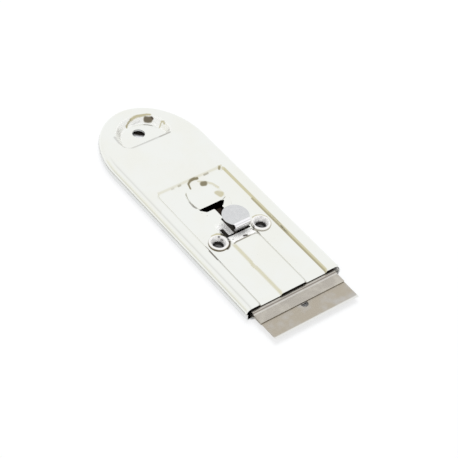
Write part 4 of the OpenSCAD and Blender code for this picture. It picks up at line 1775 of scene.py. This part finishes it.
@dataclass
class Studio:
    """Camera, lamps, floor, background and the cards that the bright metal mirrors.

    The camera and the shaded part of the floor are in millimetres, the rest in metres.
    """

    azimuth: float = -42.6569
    elevation: float = 45.2349
    roll: float = 8.0416
    lens: float = 125.6156
    distance: float = 594.9756
    aim: Triple = (0.6264, -16.0522, 0.0)
    floor_size: float = 4.0
    floor_colour: Colour = (0.94, 0.955, 0.98)
    white: Colour = (1.0, 1.0, 1.0)
    floor_white: float = 0.7
    floor_gap: float = 0.02
    shade_w: float = 20.0
    shade_arch: float = 26.5
    shade_arch_y: float = 27.5
    shade_front: float = 67.5
    shade_blade_w: float = 17.3
    shade_step: float = 56.5
    # A painted dark patch on the floor, for the shade seen through the hang hole.
    hole_place: tuple[float, float] = (4.4, 47.2)
    hole_r: float = 4.5
    hole_soft: float = 1.2
    hole_shade_colour: Colour = (0.05, 0.042, 0.036)
    world_light: float = 0.55
    cards: tuple[Card, ...] = (
        Card("left_card", -58.0, 15.0, 0.7, 0.50, (0.92, 0.91, 0.83), (1.0, 1.0, 0.97)),
    )

    def camera(self) -> None:
        """Places the camera that matches the photograph."""
        a, e, r = (math.radians(v) for v in (self.azimuth, self.elevation, self.roll))
        back = Vector((math.sin(a) * math.cos(e), -math.cos(a) * math.cos(e), math.sin(e)))
        right = Vector((math.cos(a), math.sin(a), 0.0))
        up = back.cross(right)
        across = right * math.cos(r) + up * math.sin(r)
        rise = up * math.cos(r) - right * math.sin(r)
        data = bpy.data.cameras.new("photo_camera")
        data.sensor_width, data.lens = 36.0, self.lens
        data.clip_start, data.clip_end = 0.01, 20.0
        camera = put("photo_camera", data)
        place = (Vector(self.aim) + back * self.distance) * MM
        rows = Matrix((across, rise, back)).transposed()
        camera.matrix_world = Matrix.Translation(place) @ rows.to_4x4()
        bpy.context.scene.camera = camera

    def plane(self, name: str, width: float, height: float, place: Matrix,
              material: bpy.types.Material) -> bpy.types.Object:
        """Adds one flat stage piece.

        Args:
            name: Its name.
            width: Size along its own x.
            height: Size along its own y.
            place: Where it stands.
            material: Its material.

        Returns:
            The stage piece.
        """
        mesh = bpy.data.meshes.new(name)
        w, h = width / 2, height / 2
        corners = [place @ Vector(p) for p in ((-w, -h, 0), (w, -h, 0), (w, h, 0), (-w, h, 0))]
        mesh.from_pydata([tuple(c) for c in corners], [], [(0, 1, 2, 3)])
        mesh.materials.append(material)
        piece = put(name, mesh)
        piece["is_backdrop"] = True
        return piece

    def floor(self) -> None:
        """Lays the white floor, which keeps the tool's shadow."""
        material, maker = fresh_material("studio_floor")
        paper = maker.get("ShaderNodeTexNoise", Scale=40.0, Detail=2.0)
        shade = maker.mix(paper * 0.1, self.floor_colour, self.white)
        # Painted shade: a dark patch on the floor under the hang hole.
        shade = maker.mix(self.hole_shade_patch(maker), shade, self.hole_shade_colour)
        matte = maker.get("ShaderNodeBsdfDiffuse", Color=shade)
        bright = maker.get("ShaderNodeEmission", Color=(*self.white, 1.0), Strength=1.0)
        share = maker.seen() * self.floor_white * self.open_paper(maker)
        maker.add("ShaderNodeOutputMaterial",
                  Surface=maker.get("ShaderNodeMixShader", i0=share, i1=matte, i2=bright))
        level = Matrix.Translation((0.0, 0.0, -self.floor_gap * MM))
        self.plane("studio_floor", self.floor_size, self.floor_size, level, material)

    def open_paper(self, maker: NodeMaker) -> Sock:
        """Finds the part of the floor that the tool doesn't stand on.

        Args:
            maker: The node maker of the floor's material.

        Returns:
            1 on the open floor and 0 under the tool.
        """
        split = maker.add("ShaderNodeSeparateXYZ", Vector=maker.place()).outputs
        x, y = Sock(maker, split["X"]), Sock(maker, split["Y"])
        ahead = maker.span(0.0 - y, (self.shade_step - 0.5) * MM, (self.shade_step + 0.5) * MM)
        narrow = (1 / self.shade_blade_w - 1 / self.shade_w) / MM
        across = x * (ahead * narrow + 1 / (self.shade_w * MM))
        along = maker.sum("MAXIMUM", y - self.shade_arch_y * MM, 0.0) * (1 / (self.shade_arch * MM))
        side = maker.span(across * across + along * along, 0.92, 1.0)
        end = maker.span(0.0 - y, (self.shade_front - 1) * MM, self.shade_front * MM)
        return maker.sum("MAXIMUM", side, end)

    def hole_shade_patch(self, maker: NodeMaker) -> Sock:
        """Finds the floor's painted dark patch, which stands for the shade seen through the hang hole.

        Args:
            maker: The node maker of the floor's material.

        Returns:
            1 under the hole and 0 elsewhere.
        """
        middle = (self.hole_place[0] * MM, self.hole_place[1] * MM, 0.0)
        away = maker.add("ShaderNodeVectorMath", {"operation": "DISTANCE"}, i0=maker.place(), i1=middle)
        outside = (self.hole_r + self.hole_soft) * MM
        return maker.span(Sock(maker, away.outputs["Value"]), outside, self.hole_r * MM)

    def world(self) -> None:
        """Sets a white background and the plain light that it gives."""
        world = bpy.data.worlds.new("studio_world")
        bpy.context.scene.world = world
        world.use_nodes = True
        maker = NodeMaker(world.node_tree)
        level = maker.seen() * (1.0 - self.world_light) + self.world_light
        light = maker.get("ShaderNodeBackground", Color=(*self.white, 1.0), Strength=level)
        maker.add("ShaderNodeOutputWorld", Surface=light)

    def lamp(self, name: str, place: Triple, size: float, power: float) -> None:
        """Adds one soft lamp aimed at the tool's middle.

        Args:
            name: Its name.
            place: Where it hangs, in metres.
            size: Its width, in metres.
            power: Its power, in watts.
        """
        data = bpy.data.lights.new(name, "AREA")
        data.shape, data.size, data.energy = "SQUARE", size, power
        lamp = put(name, data)
        lamp.location = place
        lamp.rotation_euler = Vector(place).to_track_quat("Z", "Y").to_euler()
        lamp.visible_glossy = False

    def card(self, card: Card) -> None:
        """Stands one card up so that it faces the tool's middle.

        Args:
            card: The card.
        """
        a, e = math.radians(card.azimuth), math.radians(card.elevation)
        away = Vector((math.sin(a) * math.cos(e), math.cos(a) * math.cos(e), math.sin(e)))
        stand = Matrix.Translation(away * card.distance) @ away.to_track_quat("Z", "Y").to_matrix().to_4x4()
        material, maker = fresh_material(card.name)
        rise = card.height * math.cos(e)
        foot = card.distance * math.sin(e) - rise / 2
        height = maker.get("ShaderNodeSeparateXYZ", "Z", Vector=maker.place())
        tone = maker.mix(maker.span(height, foot, foot + rise), card.low, card.high)
        glow = maker.get("ShaderNodeEmission", Color=tone, Strength=1.0)
        maker.add("ShaderNodeOutputMaterial", Surface=glow)
        piece = self.plane(card.name, card.width, card.height, stand, material)
        piece.visible_camera = piece.visible_diffuse = piece.visible_shadow = False

    def build(self) -> None:
        """Sets up the whole studio."""
        self.camera()
        bpy.context.scene.view_settings.view_transform = "Standard"
        self.world()
        self.floor()
        self.lamp("top_lamp", (0.25, 0.35, 0.9), 0.7, 6.5)
        self.lamp("left_lamp", (-0.7, -0.1, 0.6), 0.5, 1.2)
        for card in self.cards:
            self.card(card)


def dress_node(node: str, finish: Finish) -> None:
    """Gives a carried-over CAD node its finish.

    Args:
        node: The node's name.
        finish: Its finish.
    """
    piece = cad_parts[node]
    if not piece.material_slots:
        piece.data.materials.append(Paint.of(finish))
    for slot in piece.material_slots:
        slot.material = Paint.of(finish)
    log.info("node %s dressed", node)


def corners() -> list[list[float]]:
    """Returns the shown tool's box as plain lists."""
    return [[float(v) for v in corner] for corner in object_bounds()]


def main() -> None:
    logging.basicConfig(level=logging.INFO, format="%(name)s: %(message)s")
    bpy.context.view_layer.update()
    Studio().build()
    top, carrier, lever = TopCover(), BladeCarrier(), ThumbLever()
    top.build()
    BottomCover().build()
    eyelets(top).build()
    carrier.build()
    lever_rivets(carrier.carrier_z, lever.foot_z + lever.sheet + lever.foot_play, lever.rivet_y).build()
    lever.build()
    dress_node("blade_spine", Finish.SPINE)


if __name__ == "__main__":
    main()
